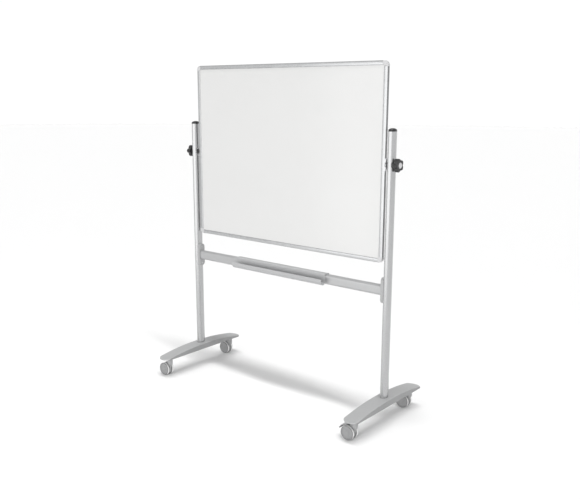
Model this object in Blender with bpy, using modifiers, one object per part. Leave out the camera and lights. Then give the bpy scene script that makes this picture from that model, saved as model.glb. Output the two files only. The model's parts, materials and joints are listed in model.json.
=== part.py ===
"""Rolling whiteboard: a double-sided board that revolves between two posts on castered feet.

Metres, +Z up. X runs along the board, the board's front faces -Y, and the origin is on the floor
midway between the two posts.
"""
import math

import bmesh
import bpy
from mathutils import Matrix

# ---------------------------------------------------------------- driving dimensions, in metres
GAP = 0.0003                      # clearance kept between pieces that touch or run on each other
PLAY = 0.0005                     # looser clearance round pieces that are slid into place
OVERSHOOT = 0.002                 # how far a cutting tool reaches past the face it opens

BOARD_WIDTH = 1.200
BOARD_HEIGHT = 0.900
BOARD_DEPTH = 0.018
PIVOT_HEIGHT = 1.235              # the board turns about this line
RAIL_FACE = 0.020                 # width of the frame seen from the front
RAIL_WALL = 0.0018
RAIL_LIP = 0.002
RAIL_SLOT = 0.008                 # from the outer edge to the bottom of the panel slot
RAIL_EDGE_RADIUS = 0.003
CORNER_SIZE = 0.025
CORNER_RADIUS = 0.022
CORNER_PROUD = 0.0002
TONGUE_LENGTH = 0.015
SHEET_THICKNESS = 0.0006

POST_SPACING = 1.260
POST_HALF_WIDTH = 0.017           # along X
POST_HALF_DEPTH = 0.025           # along Y
POST_WALL = 0.002
POST_TOP = 1.382
CAP_HEIGHT = 0.014
CAP_SKIRT = 0.004
CAP_PLUG_DEPTH = 0.012

STUD_RADIUS = 0.004
STUD_REACH = 0.066                # beyond the board's edge
STUD_HEAD_RADIUS = 0.0065
STUD_HEAD_HEIGHT = 0.0034
STUD_CHAMFER = 0.0005
PLATE_HEIGHT = 0.060
PLATE_DEPTH = 0.017
PLATE_THICKNESS = 0.003
PLATE_CORNER = 0.005
SPACER_RADIUS = 0.015
BUSH_FLANGE_RADIUS = 0.021
BUSH_FLANGE_THICKNESS = 0.0022
BUSH_SLEEVE_RADIUS = 0.008

KNOB_LOBES = 5
KNOB_RADIUS = 0.031
KNOB_CORE_RADIUS = 0.016
KNOB_HUB_RADIUS = 0.014
KNOB_HUB_LENGTH = 0.005
KNOB_HEAD_LENGTH = 0.0225
KNOB_BORE_DEPTH = 0.020
KNOB_EDGE = 0.004
KNOB_VALLEY = 0.38                # how much of a lobe's reach is left in the valley beside it
KNOB_SHARPNESS = 0.6              # below 1, the lobes are broad and the valleys narrow
INSERT_RADIUS = 0.0135
INSERT_THICKNESS = 0.0026
INSERT_RECESS = 0.0018
INSERT_CHAMFER = 0.0005

FOOT_LENGTH = 0.590
FOOT_WIDTH = 0.080
FOOT_NOSE = 0.025                 # how far the rounded end reaches past its corners
FOOT_BOTTOM = 0.1055
FOOT_TOP = 0.136                  # crown of the arch, at the post
FOOT_END_TOP = 0.109              # top of the foot at the tip of its nose
FOOT_WALL = 0.0035
FOOT_POST_BOSS = (0.046, 0.060)
FOOT_BOLT_SEAT = 0.120
FOOT_BOLT_TOP = 0.165
FOOT_MARGIN = 0.010               # how far the foot's tools reach past it
BOLT_SEAT_RADIUS = 0.0075
BOLT_HEAD_RADIUS = 0.0065
BOLT_HEAD_HEIGHT = 0.008
BOLT_SOCKET_RADIUS = 0.0035
BOLT_SOCKET_DEPTH = 0.004
PLUG_TOP = 0.174

BAR_HEIGHT = 0.051
BAR_DEPTH = 0.030
BAR_CORNER = 0.013
BAR_WALL = 0.002
BAR_CENTRE_HEIGHT = 0.6575
BAR_INSERTED = 0.005              # length of the bar's end held in each bracket
BRACKET_HEIGHT = 0.123
BRACKET_DEPTH = 0.038
BRACKET_PROUD = 0.010
BRACKET_BACK = 0.009              # how far the bracket's edges reach round the post
BRACKET_BEVEL = 0.004
BRACKET_CORNER = 0.018

TRAY_LENGTH = 0.600
TRAY_CENTRE = -0.019              # the tray stands a little left of the middle
TRAY_WALL = 0.0018
TRAY_CLEARANCE = 0.0012           # from the bar to the middle of the tray's wall
TRAY_HOOK = 0.012
TRAY_BOTTOM = 0.632
TRAY_REACH = 0.032
TRAY_LIP_TOP = 0.661
TRAY_BEND = 0.005

CASTER_ALONG_FOOT = 0.236         # from the post to each caster's stem
WHEEL_RADIUS = 0.035
WHEEL_WIDTH = 0.015
WHEEL_EDGE = 0.004
WHEEL_DISH_RADIUS = 0.0265        # the flat bottom of the hollow in the wheel's outer face
WHEEL_DISH_SLOPE = 0.002
WHEEL_DISH_DEPTH = 0.003
CASTER_TRAIL = 0.032              # from the stem's axis back to the axle
WEB_HALF = 0.0055                 # half the thickness of the hood's web between the wheels
WEB_RADIUS = 0.0315
ARM_KNEE = 0.045                  # height where the hood's arm leaves the wheel's disc
ARM_TOP = 0.077
ARM_INSET = 0.002
NECK_RADIUS = 0.013
NECK_BOTTOM = 0.065
NECK_TOP = 0.1035
NECK_CHAMFER = 0.001
STEM_RADIUS = 0.005
STEM_BOTTOM = 0.069
STEM_TOP = 0.1125
STEM_COLLAR = (0.011, 0.0012)
STEM_BOSS_RADIUS = 0.016
AXLE_RADIUS = 0.003
AXLE_HALF = 0.0175

LEVER_PIVOT = (-0.0395, 0.0633)   # X from the stem, and height
LEVER_HUB_RADIUS = 0.0034
LEVER_HALF_WIDTH = 0.018
LEVER_BOW = 0.007
LEVER_THICKNESS = 0.003
LEVER_BASE = (-0.0375, 0.0745)
LEVER_TIP = (-0.0790, 0.0490)
LEVER_WEB = 0.012
LEVER_OVERLAP = 0.001
ROOM_FRONT = 0.0045               # the notch for the lever, from its pivot
ROOM_TOP = 0.090
ROOM_STEPS = ((-0.010, -0.008), (-0.035, -0.030))

ROUND_STEPS = 24                  # sides on the wheels, caps and flanges
SMALL_STEPS = 16                  # sides on pins, bolts and bores
POST_STEPS = 32                   # sides on the oval posts

POST_X = POST_SPACING / 2
BOARD_EDGE = BOARD_WIDTH / 2
PLATE_OUTER = BOARD_EDGE + GAP + PLATE_THICKNESS
POST_INNER_FACE = POST_X - POST_HALF_WIDTH
POST_OUTER_FACE = POST_X + POST_HALF_WIDTH
BUSH_INNER = POST_INNER_FACE - GAP - BUSH_FLANGE_THICKNESS
KNOB_START = POST_OUTER_FACE + GAP
BRACKET_FACE = POST_INNER_FACE - BRACKET_PROUD
STUD_HOLE = STUD_RADIUS + GAP


# ---------------------------------------------------------------- scene, collections, materials
for leftover in list(bpy.data.objects):
    bpy.data.objects.remove(leftover, do_unlink=True)


def new_collection(name):
    """A collection under the scene's own."""
    collection = bpy.data.collections.new(name)
    bpy.context.scene.collection.children.link(collection)
    return collection


PARTS = new_collection("rolling_whiteboard")
CUTTERS = new_collection("cutters")


def new_material(name, colour, roughness, metallic):
    """A Principled material with one colour."""
    material = bpy.data.materials.new(name)
    material.use_nodes = True
    shader = material.node_tree.nodes["Principled BSDF"]
    shader.inputs["Base Color"].default_value = (*colour, 1.0)
    shader.inputs["Roughness"].default_value = roughness
    shader.inputs["Metallic"].default_value = metallic
    material.diffuse_color = (*colour, 1.0)
    return material


ENAMEL = new_material("white_enamel", (0.86, 0.86, 0.85), 0.22, 0.0)
CORE = new_material("core_board", (0.55, 0.45, 0.33), 0.9, 0.0)
ALUMINIUM = new_material("anodised_aluminium", (0.62, 0.63, 0.64), 0.35, 0.9)
CORNER_PLASTIC = new_material("corner_plastic", (0.62, 0.63, 0.63), 0.45, 0.0)
STEEL = new_material("zinc_plated_steel", (0.66, 0.67, 0.68), 0.3, 1.0)
SILVER_PAINT = new_material("silver_paint", (0.58, 0.59, 0.60), 0.4, 0.6)
GREY_CASTING = new_material("grey_casting", (0.52, 0.53, 0.53), 0.5, 0.4)
BLACK_PLASTIC = new_material("black_plastic", (0.03, 0.03, 0.03), 0.45, 0.0)
CASTER_PLASTIC = new_material("caster_plastic", (0.44, 0.45, 0.45), 0.5, 0.0)
WHEEL_PLASTIC = new_material("wheel_plastic", (0.36, 0.37, 0.37), 0.55, 0.0)


# ---------------------------------------------------------------- making solids
def place(obj, material, parent=None, location=(0.0, 0.0, 0.0)):
    """Link a finished piece, with its material, under its parent empty."""
    PARTS.objects.link(obj)
    obj.data.materials.clear()
    obj.data.materials.append(material)
    obj.parent = parent
    obj.location = location
    obj.data.shade_smooth()
    obj.data.set_sharp_from_angle(angle=math.radians(35))
    return obj


def as_tool(obj, parent=None):
    """Link an object that only cuts, joins or bounds another piece."""
    CUTTERS.objects.link(obj)
    obj.parent = parent
    obj.hide_render = True
    obj.display_type = "WIRE"
    return obj


def empty(name, location, parent=None):
    """An empty on a joint's axis, which the moving pieces hang under."""
    obj = bpy.data.objects.new(name, None)
    PARTS.objects.link(obj)
    obj.location = location
    obj.parent = parent
    return obj


def combine(obj, tool, operation):
    """Cut, join or bound obj with tool."""
    modifier = obj.modifiers.new(operation.lower(), "BOOLEAN")
    modifier.operation = operation
    modifier.object = tool


def cleaned(mesh):
    """Weld a mesh's doubled points and turn its faces outwards."""
    work = bmesh.new()
    work.from_mesh(mesh)
    bmesh.ops.remove_doubles(work, verts=work.verts, dist=1e-6)
    bmesh.ops.recalc_face_normals(work, faces=work.faces)
    work.to_mesh(mesh)
    work.free()
    return mesh


def evaluated_mesh(obj):
    """The mesh of an object with its modifiers or curve bevel carried out; the object is removed."""
    bpy.context.scene.collection.objects.link(obj)
    mesh = bpy.data.meshes.new_from_object(obj.evaluated_get(bpy.context.evaluated_depsgraph_get()))
    bpy.data.objects.remove(obj, do_unlink=True)
    return cleaned(mesh)


# where the outline's first axis, its second axis and its extrusion point, for each extrusion axis
EXTRUSION = {
    "X": Matrix(((0, 0, 1, 0), (1, 0, 0, 0), (0, 1, 0, 0), (0, 0, 0, 1))),
    "Y": Matrix(((1, 0, 0, 0), (0, 0, -1, 0), (0, 1, 0, 0), (0, 0, 0, 1))),
    "Z": Matrix.Identity(4),
}


def prism(name, loops, axis, low, high):
    """Outlines in the plane across an axis, (Y, Z), (X, Z) or (X, Y), drawn out from low to high."""
    curve = bpy.data.curves.new(name, "CURVE")
    curve.dimensions = "2D"
    curve.fill_mode = "BOTH"
    curve.extrude = (high - low) / 2
    for loop in loops:
        spline = curve.splines.new("POLY")
        spline.points.add(len(loop) - 1)
        for point, (u, v) in zip(spline.points, loop):
            point.co = (u, v, 0.0, 1.0)
        spline.use_cyclic_u = True
    mesh = evaluated_mesh(bpy.data.objects.new(name + "_outline", curve))
    middle = (low + high) / 2
    along = {"X": (middle, 0, 0), "Y": (0, middle, 0), "Z": (0, 0, middle)}[axis]
    mesh.transform(Matrix.Translation(along) @ EXTRUSION[axis])
    return bpy.data.objects.new(name, cleaned(mesh))


def block(name, low, high):
    """A box between two corners."""
    mesh = bpy.data.meshes.new(name)
    work = bmesh.new()
    bmesh.ops.create_cube(work, size=1.0)
    size = [b - a for a, b in zip(low, high)]
    middle = [(a + b) / 2 for a, b in zip(low, high)]
    bmesh.ops.scale(work, verts=work.verts, vec=size)
    bmesh.ops.translate(work, verts=work.verts, vec=middle)
    work.to_mesh(mesh)
    work.free()
    return bpy.data.objects.new(name, mesh)


TURN = {
    "X": Matrix.Rotation(math.radians(90), 4, "Y"),
    "-X": Matrix.Rotation(math.radians(-90), 4, "Y"),
    "Y": Matrix.Rotation(math.radians(-90), 4, "X"),
    "-Y": Matrix.Rotation(math.radians(90), 4, "X"),
    "Z": Matrix.Identity(4),
}


def turned(name, profile, axis="Z", centre=(0.0, 0.0, 0.0), closed=False, steps=ROUND_STEPS):
    """A profile of (radius, height) points, highest first, turned round an axis through centre."""
    mesh = bpy.data.meshes.new(name)
    links = [(i, i + 1) for i in range(len(profile) - 1)]
    if closed:
        links.append((len(profile) - 1, 0))
    mesh.from_pydata([(r, 0.0, h) for r, h in profile], links, [])
    obj = bpy.data.objects.new(name + "_profile", mesh)
    screw = obj.modifiers.new("turn", "SCREW")
    screw.steps = steps
    screw.render_steps = steps
    screw.use_merge_vertices = True
    screw.merge_threshold = 0.00001
    solid = evaluated_mesh(obj)
    solid.transform(Matrix.Translation(centre) @ TURN[axis])
    return bpy.data.objects.new(name, solid)


def rod(name, radius, low, high, axis="Z", centre=(0.0, 0.0, 0.0), steps=ROUND_STEPS):
    """A plain cylinder."""
    return turned(name, [(0, high), (radius, high), (radius, low), (0, low)], axis, centre,
                  steps=steps)


def ring(name, outer, inner, low, high, axis="Z", centre=(0.0, 0.0, 0.0)):
    """A plain tube or washer."""
    profile = [(inner, high), (outer, high), (outer, low), (inner, low)]
    return turned(name, profile, axis, centre, closed=True)


# ---------------------------------------------------------------- outlines
def arc(centre, radius, start, end, steps):
    """Points on a circle from one angle to another, in degrees."""
    angles = [math.radians(start + (end - start) * i / steps) for i in range(steps + 1)]
    return [(centre[0] + radius * math.cos(a), centre[1] + radius * math.sin(a)) for a in angles]


def rounded_rectangle(half_u, half_v, radius, centre=(0.0, 0.0), steps=6):
    """A rectangle's outline with round corners."""
    points = []
    for turn, (sign_u, sign_v) in enumerate(((1, 1), (-1, 1), (-1, -1), (1, -1))):
        middle = (centre[0] + sign_u * (half_u - radius), centre[1] + sign_v * (half_v - radius))
        points += arc(middle, radius, 90 * turn, 90 * turn + 90, steps)
    return points


def ellipse(half_u, half_v, centre=(0.0, 0.0), steps=POST_STEPS):
    """An ellipse's outline."""
    angles = [2 * math.pi * i / steps for i in range(steps)]
    return [(centre[0] + half_u * math.cos(a), centre[1] + half_v * math.sin(a)) for a in angles]


def post_outline(offset, side):
    """The post's oval section, in plan, grown or shrunk by offset."""
    return ellipse(POST_HALF_WIDTH + offset, POST_HALF_DEPTH + offset, (side * POST_X, 0.0))


# ---------------------------------------------------------------- the board, about its pivot line
def rail_section():
    """The frame extrusion's section: (distance in from the outer edge, depth)."""
    half = BOARD_DEPTH / 2
    slot = half - RAIL_LIP
    edge = RAIL_EDGE_RADIUS
    outline = arc((edge, -half + edge), edge, 270, 180, 3) + arc((edge, half - edge), edge, 180, 90, 3)
    outline += [(RAIL_FACE, half), (RAIL_FACE, slot), (RAIL_SLOT, slot)]
    outline += [(RAIL_SLOT, -slot), (RAIL_FACE, -slot), (RAIL_FACE, -half)]
    inner = RAIL_SLOT - RAIL_WALL
    reach = half - RAIL_WALL
    chamber = [(RAIL_WALL, -reach), (inner, -reach), (inner, reach), (RAIL_WALL, reach)]
    return outline, chamber


def make_rails(pivot):
    """Four rails that stop at the corner caps."""
    half_width = BOARD_WIDTH / 2
    half_height = BOARD_HEIGHT / 2
    across = half_width - CORNER_SIZE - GAP
    upright = half_height - CORNER_SIZE - GAP
    for name, side in (("frame_rail_bottom", -1), ("frame_rail_top", 1)):
        loops = [[(y, side * (half_height - a)) for a, y in loop] for loop in rail_section()]
        place(prism(name, loops, "X", -across, across), ALUMINIUM, pivot)
    for name, side in (("frame_rail_left", -1), ("frame_rail_right", 1)):
        loops = [[(side * (half_width - a), y) for a, y in loop] for loop in rail_section()]
        rail = place(prism(name, loops, "Z", -upright, upright), ALUMINIUM, pivot)
        low = half_width - RAIL_WALL - OVERSHOOT
        high = half_width + OVERSHOOT
        hole = rod(name + "_hole", STUD_HOLE, low, high, "X" if side > 0 else "-X", steps=SMALL_STEPS)
        combine(rail, as_tool(hole, pivot), "DIFFERENCE")


def make_corner(name, side_x, side_z, pivot):
    """A rounded corner piece with a tongue in each of the two rails it joins."""
    half_width = BOARD_WIDTH / 2
    half_height = BOARD_HEIGHT / 2
    slot = BOARD_DEPTH / 2 - RAIL_LIP

    def at(a, b):
        return side_x * (half_width - a), side_z * (half_height - b)

    def inset_block(suffix, low, high, half_depth):
        xs, zs = zip(at(*low), at(*high))
        return as_tool(block(name + suffix, (min(xs), -half_depth, min(zs)),
                             (max(xs), half_depth, max(zs))), pivot)

    outline = arc((CORNER_RADIUS, CORNER_RADIUS), CORNER_RADIUS, 270, 180, 8)
    outline += [(0, CORNER_SIZE), (RAIL_FACE, CORNER_SIZE), (RAIL_FACE, RAIL_FACE)]
    outline += [(CORNER_SIZE, RAIL_FACE), (CORNER_SIZE, 0)]
    half_depth = BOARD_DEPTH / 2 + CORNER_PROUD
    loop = [at(a, b) for a, b in outline]
    corner = place(prism(name, [loop], "Y", -half_depth, half_depth), CORNER_PLASTIC, pivot)
    past = CORNER_SIZE + OVERSHOOT
    combine(corner, inset_block("_slot", (RAIL_SLOT, RAIL_SLOT), (past, past), slot), "DIFFERENCE")
    low = RAIL_WALL + GAP
    high = RAIL_SLOT - RAIL_WALL - GAP
    root = CORNER_SIZE - OVERSHOOT
    tip = CORNER_SIZE + TONGUE_LENGTH
    reach = BOARD_DEPTH / 2 - RAIL_WALL - GAP
    combine(corner, inset_block("_tongue_up", (low, root), (high, tip), reach), "UNION")
    combine(corner, inset_block("_tongue_across", (root, low), (tip, high), reach), "UNION")


def make_panel(pivot):
    """Two enamelled steel sheets on a light core, held in the frame's slot."""
    half_x = BOARD_WIDTH / 2 - RAIL_SLOT - PLAY
    half_z = BOARD_HEIGHT / 2 - RAIL_SLOT - PLAY
    outer = BOARD_DEPTH / 2 - RAIL_LIP - GAP
    inner = outer - SHEET_THICKNESS
    core = inner - GAP
    layers = (("writing_surface_front", -outer, -inner, ENAMEL), ("board_core", -core, core, CORE),
              ("writing_surface_back", inner, outer, ENAMEL))
    for name, low, high, material in layers:
        place(block(name, (-half_x, low, -half_z), (half_x, high, half_z)), material, pivot)


def make_pivot_fittings(word, side, pivot):
    """The plate, stud and friction spacer on one side edge of the board."""
    axis = "X" if side > 0 else "-X"
    plate = [rounded_rectangle(PLATE_DEPTH / 2, PLATE_HEIGHT / 2, PLATE_CORNER, steps=4),
             ellipse(STUD_HOLE, STUD_HOLE, steps=SMALL_STEPS)]
    low, high = sorted((side * (BOARD_EDGE + GAP), side * PLATE_OUTER))
    place(prism("pivot_plate_" + word, plate, "X", low, high), STEEL, pivot)
    head_top = BOARD_EDGE - RAIL_WALL - GAP
    tip = BOARD_EDGE + STUD_REACH
    profile = [(0, tip), (STUD_RADIUS - STUD_CHAMFER, tip), (STUD_RADIUS, tip - STUD_CHAMFER),
               (STUD_RADIUS, head_top), (STUD_HEAD_RADIUS, head_top),
               (STUD_HEAD_RADIUS, head_top - STUD_HEAD_HEIGHT), (0, head_top - STUD_HEAD_HEIGHT)]
    place(turned("pivot_stud_" + word, profile, axis, steps=SMALL_STEPS), STEEL, pivot)
    spacer = ring("pivot_spacer_" + word, SPACER_RADIUS, STUD_HOLE, PLATE_OUTER + GAP,
                  BUSH_INNER - GAP, axis)
    place(spacer, BLACK_PLASTIC, pivot)


def make_board():
    """Everything that turns with the board."""
    pivot = empty("board_pivot", (0, 0, PIVOT_HEIGHT))
    make_rails(pivot)
    for word_z, side_z in (("bottom", -1), ("top", 1)):
        for word_x, side_x in (("left", -1), ("right", 1)):
            make_corner(f"corner_cap_{word_z}_{word_x}", side_x, side_z, pivot)
    make_panel(pivot)
    for word, side in (("left", -1), ("right", 1)):
        make_pivot_fittings(word, side, pivot)


# ---------------------------------------------------------------- clamp knobs, on the pivot line
def star_radius(radius, angle):
    """A point beyond the knob's core drawn in between the lobes; one lobe points along -Y."""
    if radius <= KNOB_CORE_RADIUS:
        return radius
    lobe = (0.5 + 0.5 * math.cos(KNOB_LOBES * (angle + math.pi / 2))) ** KNOB_SHARPNESS
    return KNOB_CORE_RADIUS + (radius - KNOB_CORE_RADIUS) * (KNOB_VALLEY + (1 - KNOB_VALLEY) * lobe)


def make_knob(word, side):
    """A lobed knob with a hub against the post, and the disc in its outer face."""
    axis = "X" if side > 0 else "-X"
    pivot = empty("knob_axis_" + word, (0, 0, PIVOT_HEIGHT))
    shoulder = KNOB_START + KNOB_HUB_LENGTH
    end = shoulder + KNOB_HEAD_LENGTH
    seat = end - INSERT_RECESS
    recess = INSERT_RADIUS + GAP
    outer = arc((KNOB_RADIUS - KNOB_EDGE, end - KNOB_EDGE), KNOB_EDGE, 90, 0, 2)
    inner = arc((KNOB_RADIUS - KNOB_EDGE, shoulder + KNOB_EDGE), KNOB_EDGE, 0, -90, 2)
    profile = [(0, seat), (recess, seat), (recess, end), (KNOB_CORE_RADIUS, end)] + outer + inner
    profile += [(KNOB_CORE_RADIUS, shoulder), (KNOB_HUB_RADIUS, shoulder),
                (KNOB_HUB_RADIUS, KNOB_START), (STUD_HOLE, KNOB_START),
                (STUD_HOLE, KNOB_START + KNOB_BORE_DEPTH), (0, KNOB_START + KNOB_BORE_DEPTH)]
    knob = turned("knob_" + word, profile, axis, steps=8 * KNOB_LOBES)
    for vertex in knob.data.vertices:
        radius = math.hypot(vertex.co.y, vertex.co.z)
        if radius > KNOB_CORE_RADIUS:
            scale = star_radius(radius, math.atan2(vertex.co.z, vertex.co.y) + math.pi) / radius
            vertex.co.y *= scale
            vertex.co.z *= scale
    place(knob, BLACK_PLASTIC, pivot)
    low = seat + GAP
    high = low + INSERT_THICKNESS
    disc = [(0, high), (INSERT_RADIUS - INSERT_CHAMFER, high), (INSERT_RADIUS, high - INSERT_CHAMFER),
            (INSERT_RADIUS, low), (0, low)]
    place(turned("knob_disc_" + word, disc, axis), STEEL, pivot)


# ---------------------------------------------------------------- the stand
def make_post(word, side):
    """An oval tube with the pivot bush through it, its top cap and its bottom plug."""
    low = FOOT_TOP + GAP
    loops = [post_outline(0.0, side), post_outline(-POST_WALL, side)]
    post = place(prism("post_" + word, loops, "Z", low, POST_TOP), SILVER_PAINT)
    axis = "X" if side > 0 else "-X"
    pivot_line = (0, 0, PIVOT_HEIGHT)
    hole = rod("post_hole_" + word, BUSH_SLEEVE_RADIUS + GAP, POST_INNER_FACE - OVERSHOOT,
               POST_OUTER_FACE + OVERSHOOT, axis, pivot_line, steps=SMALL_STEPS)
    combine(post, as_tool(hole), "DIFFERENCE")

    flange_end = BUSH_INNER + BUSH_FLANGE_THICKNESS
    sleeve_end = POST_OUTER_FACE - PLAY
    profile = [(STUD_HOLE, sleeve_end), (BUSH_SLEEVE_RADIUS, sleeve_end),
               (BUSH_SLEEVE_RADIUS, flange_end), (BUSH_FLANGE_RADIUS, flange_end),
               (BUSH_FLANGE_RADIUS, BUSH_INNER), (STUD_HOLE, BUSH_INNER)]
    place(turned("pivot_bush_" + word, profile, axis, pivot_line, closed=True), STEEL)

    bottom = POST_TOP + GAP
    plug_radius = POST_HALF_WIDTH - POST_WALL - PLAY
    dome = arc((0, 0), 1.0, 90, 0, 4)
    profile = [(POST_HALF_WIDTH * u, bottom + CAP_SKIRT + (CAP_HEIGHT - CAP_SKIRT) * v)
               for u, v in dome]
    profile += [(POST_HALF_WIDTH, bottom), (plug_radius, bottom),
                (plug_radius, bottom - CAP_PLUG_DEPTH), (0, bottom - CAP_PLUG_DEPTH)]
    profile[0] = (0, profile[0][1])
    cap = turned("post_cap_" + word, profile, steps=POST_STEPS)
    cap.data.transform(Matrix.Diagonal((1, POST_HALF_DEPTH / POST_HALF_WIDTH, 1, 1)))
    place(cap, BLACK_PLASTIC, location=(side * POST_X, 0, 0))

    loops = [post_outline(-POST_WALL - GAP, side),
             ellipse(STUD_HOLE, STUD_HOLE, (side * POST_X, 0), SMALL_STEPS)]
    place(prism("post_plug_" + word, loops, "Z", low, PLUG_TOP), STEEL)


def foot_plan(inset):
    """The foot's plan: straight sides and round noses, drawn in by inset."""
    half = FOOT_WIDTH / 2
    corner = FOOT_LENGTH / 2 - FOOT_NOSE
    radius = (half ** 2 + FOOT_NOSE ** 2) / (2 * FOOT_NOSE)
    centre = FOOT_LENGTH / 2 - radius
    sweep = math.degrees(math.asin(half / radius)) if corner > centre else 90.0
    shrink = (radius - inset) / radius
    nose = arc((0, 0), radius, 90 - sweep, 90 + sweep, 8)
    front = [(x * (half - inset) / half, centre + y * shrink) for x, y in nose]
    return front + [(-x, -y) for x, y in front]


def foot_block(name, inset, low):
    """The foot's outer form, or the hollow inside it, under an arched top."""
    body = prism(name, [foot_plan(inset)], "Z", low, FOOT_TOP + FOOT_MARGIN)
    reach = FOOT_LENGTH / 2 + FOOT_MARGIN
    drop = (FOOT_TOP - FOOT_END_TOP) / (FOOT_LENGTH / 2) ** 2
    steps = 18
    ys = [reach - 2 * reach * i / steps for i in range(steps + 1)]
    outline = [(y, FOOT_TOP - inset - drop * y * y) for y in ys]
    outline += [(-reach, low - FOOT_MARGIN), (reach, low - FOOT_MARGIN)]
    arch = prism(name + "_arch", [outline], "X", -FOOT_WIDTH, FOOT_WIDTH)
    combine(body, as_tool(arch), "INTERSECT")
    return body


def make_foot(word, side):
    """A hollow arched foot, open below, with bosses for the post's bolt and the two stems."""
    stand = empty("foot_centre_" + word, (side * POST_X, 0, 0))
    foot = foot_block("foot_" + word, 0.0, FOOT_BOTTOM)
    hollow = foot_block("foot_hollow_" + word, FOOT_WALL, FOOT_BOTTOM - OVERSHOOT)
    for tool in [m.object for obj in (foot, hollow) for m in obj.modifiers]:
        tool.parent = stand
    half_x, half_y = (size / 2 for size in FOOT_POST_BOSS)
    boss = block("foot_post_boss_" + word, (-half_x, -half_y, FOOT_BOTTOM - FOOT_MARGIN),
                 (half_x, half_y, FOOT_TOP + FOOT_MARGIN))
    combine(hollow, as_tool(boss, stand), "DIFFERENCE")
    bores = []
    for end in (-1, 1):
        centre = (0, end * CASTER_ALONG_FOOT, 0)
        boss = rod(f"foot_stem_boss_{word}_{end}", STEM_BOSS_RADIUS, FOOT_BOTTOM - FOOT_MARGIN,
                   FOOT_TOP + FOOT_MARGIN, centre=centre, steps=SMALL_STEPS)
        combine(hollow, as_tool(boss, stand), "DIFFERENCE")
        bores.append(rod(f"foot_stem_bore_{word}_{end}", STEM_RADIUS + GAP, FOOT_BOTTOM - OVERSHOOT,
                         STEM_TOP + GAP, centre=centre, steps=SMALL_STEPS))
    combine(foot, as_tool(hollow, stand), "DIFFERENCE")
    for bore in bores:
        combine(foot, as_tool(bore, stand), "DIFFERENCE")
    top = FOOT_TOP + OVERSHOOT
    bottom = FOOT_BOTTOM - OVERSHOOT
    profile = [(0, top), (STUD_HOLE, top), (STUD_HOLE, FOOT_BOLT_SEAT),
               (BOLT_SEAT_RADIUS, FOOT_BOLT_SEAT), (BOLT_SEAT_RADIUS, bottom), (0, bottom)]
    seat = turned("foot_bolt_seat_" + word, profile, steps=SMALL_STEPS)
    combine(foot, as_tool(seat, stand), "DIFFERENCE")
    place(foot, GREY_CASTING, stand)

    head_top = FOOT_BOLT_SEAT - GAP
    head_low = head_top - BOLT_HEAD_HEIGHT
    socket_top = head_low + BOLT_SOCKET_DEPTH
    profile = [(0, FOOT_BOLT_TOP), (STUD_RADIUS, FOOT_BOLT_TOP), (STUD_RADIUS, head_top),
               (BOLT_HEAD_RADIUS, head_top), (BOLT_HEAD_RADIUS, head_low),
               (BOLT_SOCKET_RADIUS, head_low), (BOLT_SOCKET_RADIUS, socket_top), (0, socket_top)]
    place(turned("foot_bolt_" + word, profile, steps=SMALL_STEPS), STEEL, stand)


def bar_outline(offset):
    """The crossbar's section, in (Y, Z), grown or shrunk by offset."""
    return rounded_rectangle(BAR_DEPTH / 2 + offset, BAR_HEIGHT / 2 + offset, BAR_CORNER + offset,
                             (0.0, BAR_CENTRE_HEIGHT))


def make_crossbar():
    """The tube between the posts and the bracket that holds each of its ends."""
    reach = BRACKET_FACE + BAR_INSERTED
    loops = [bar_outline(0.0), bar_outline(-BAR_WALL)]
    place(prism("crossbar", loops, "X", -reach, reach), SILVER_PAINT)
    for word, side in (("left", -1), ("right", 1)):
        outline = rounded_rectangle(BRACKET_DEPTH / 2, BRACKET_HEIGHT / 2, BRACKET_CORNER,
                                    (0.0, BAR_CENTRE_HEIGHT))
        low, high = sorted((side * BRACKET_FACE, side * (POST_INNER_FACE + BRACKET_BACK)))
        bracket = prism("crossbar_bracket_" + word, [outline], "X", low, high)
        bevel = bracket.modifiers.new("edge", "BEVEL")
        bevel.width = BRACKET_BEVEL
        bevel.segments = 2
        bevel.limit_method = "ANGLE"
        bevel.angle_limit = math.radians(60)
        bottom = BAR_CENTRE_HEIGHT - BRACKET_HEIGHT
        top = BAR_CENTRE_HEIGHT + BRACKET_HEIGHT
        saddle = prism("saddle_" + word, [post_outline(GAP, side)], "Z", bottom, top)
        combine(bracket, as_tool(saddle), "DIFFERENCE")
        mouth, floor = sorted((side * (BRACKET_FACE - OVERSHOOT), side * (reach + GAP)))
        socket = prism("bar_socket_" + word, [bar_outline(GAP)], "X", mouth, floor)
        combine(bracket, as_tool(socket), "DIFFERENCE")
        place(bracket, GREY_CASTING)


# ---------------------------------------------------------------- the pen tray
def tray_path():
    """The tray wall's middle line in (Y, Z): a hook over the bar, a back and a trough in front."""
    back = BAR_DEPTH / 2 + TRAY_CLEARANCE
    top = BAR_CENTRE_HEIGHT + BAR_HEIGHT / 2 + TRAY_CLEARANCE
    path = [(back, top - TRAY_HOOK)]
    path += arc((back - TRAY_BEND, top - TRAY_BEND), TRAY_BEND, 0, 90, 4)
    path += arc((-back + TRAY_BEND, top - TRAY_BEND), TRAY_BEND, 90, 180, 4)
    radius = TRAY_REACH / 2
    trough = (-back - radius, TRAY_BOTTOM + TRAY_WALL / 2 + radius)
    path += arc(trough, radius, 0, -180, 12)
    path.append((-back - TRAY_REACH, TRAY_LIP_TOP))
    return path


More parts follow.
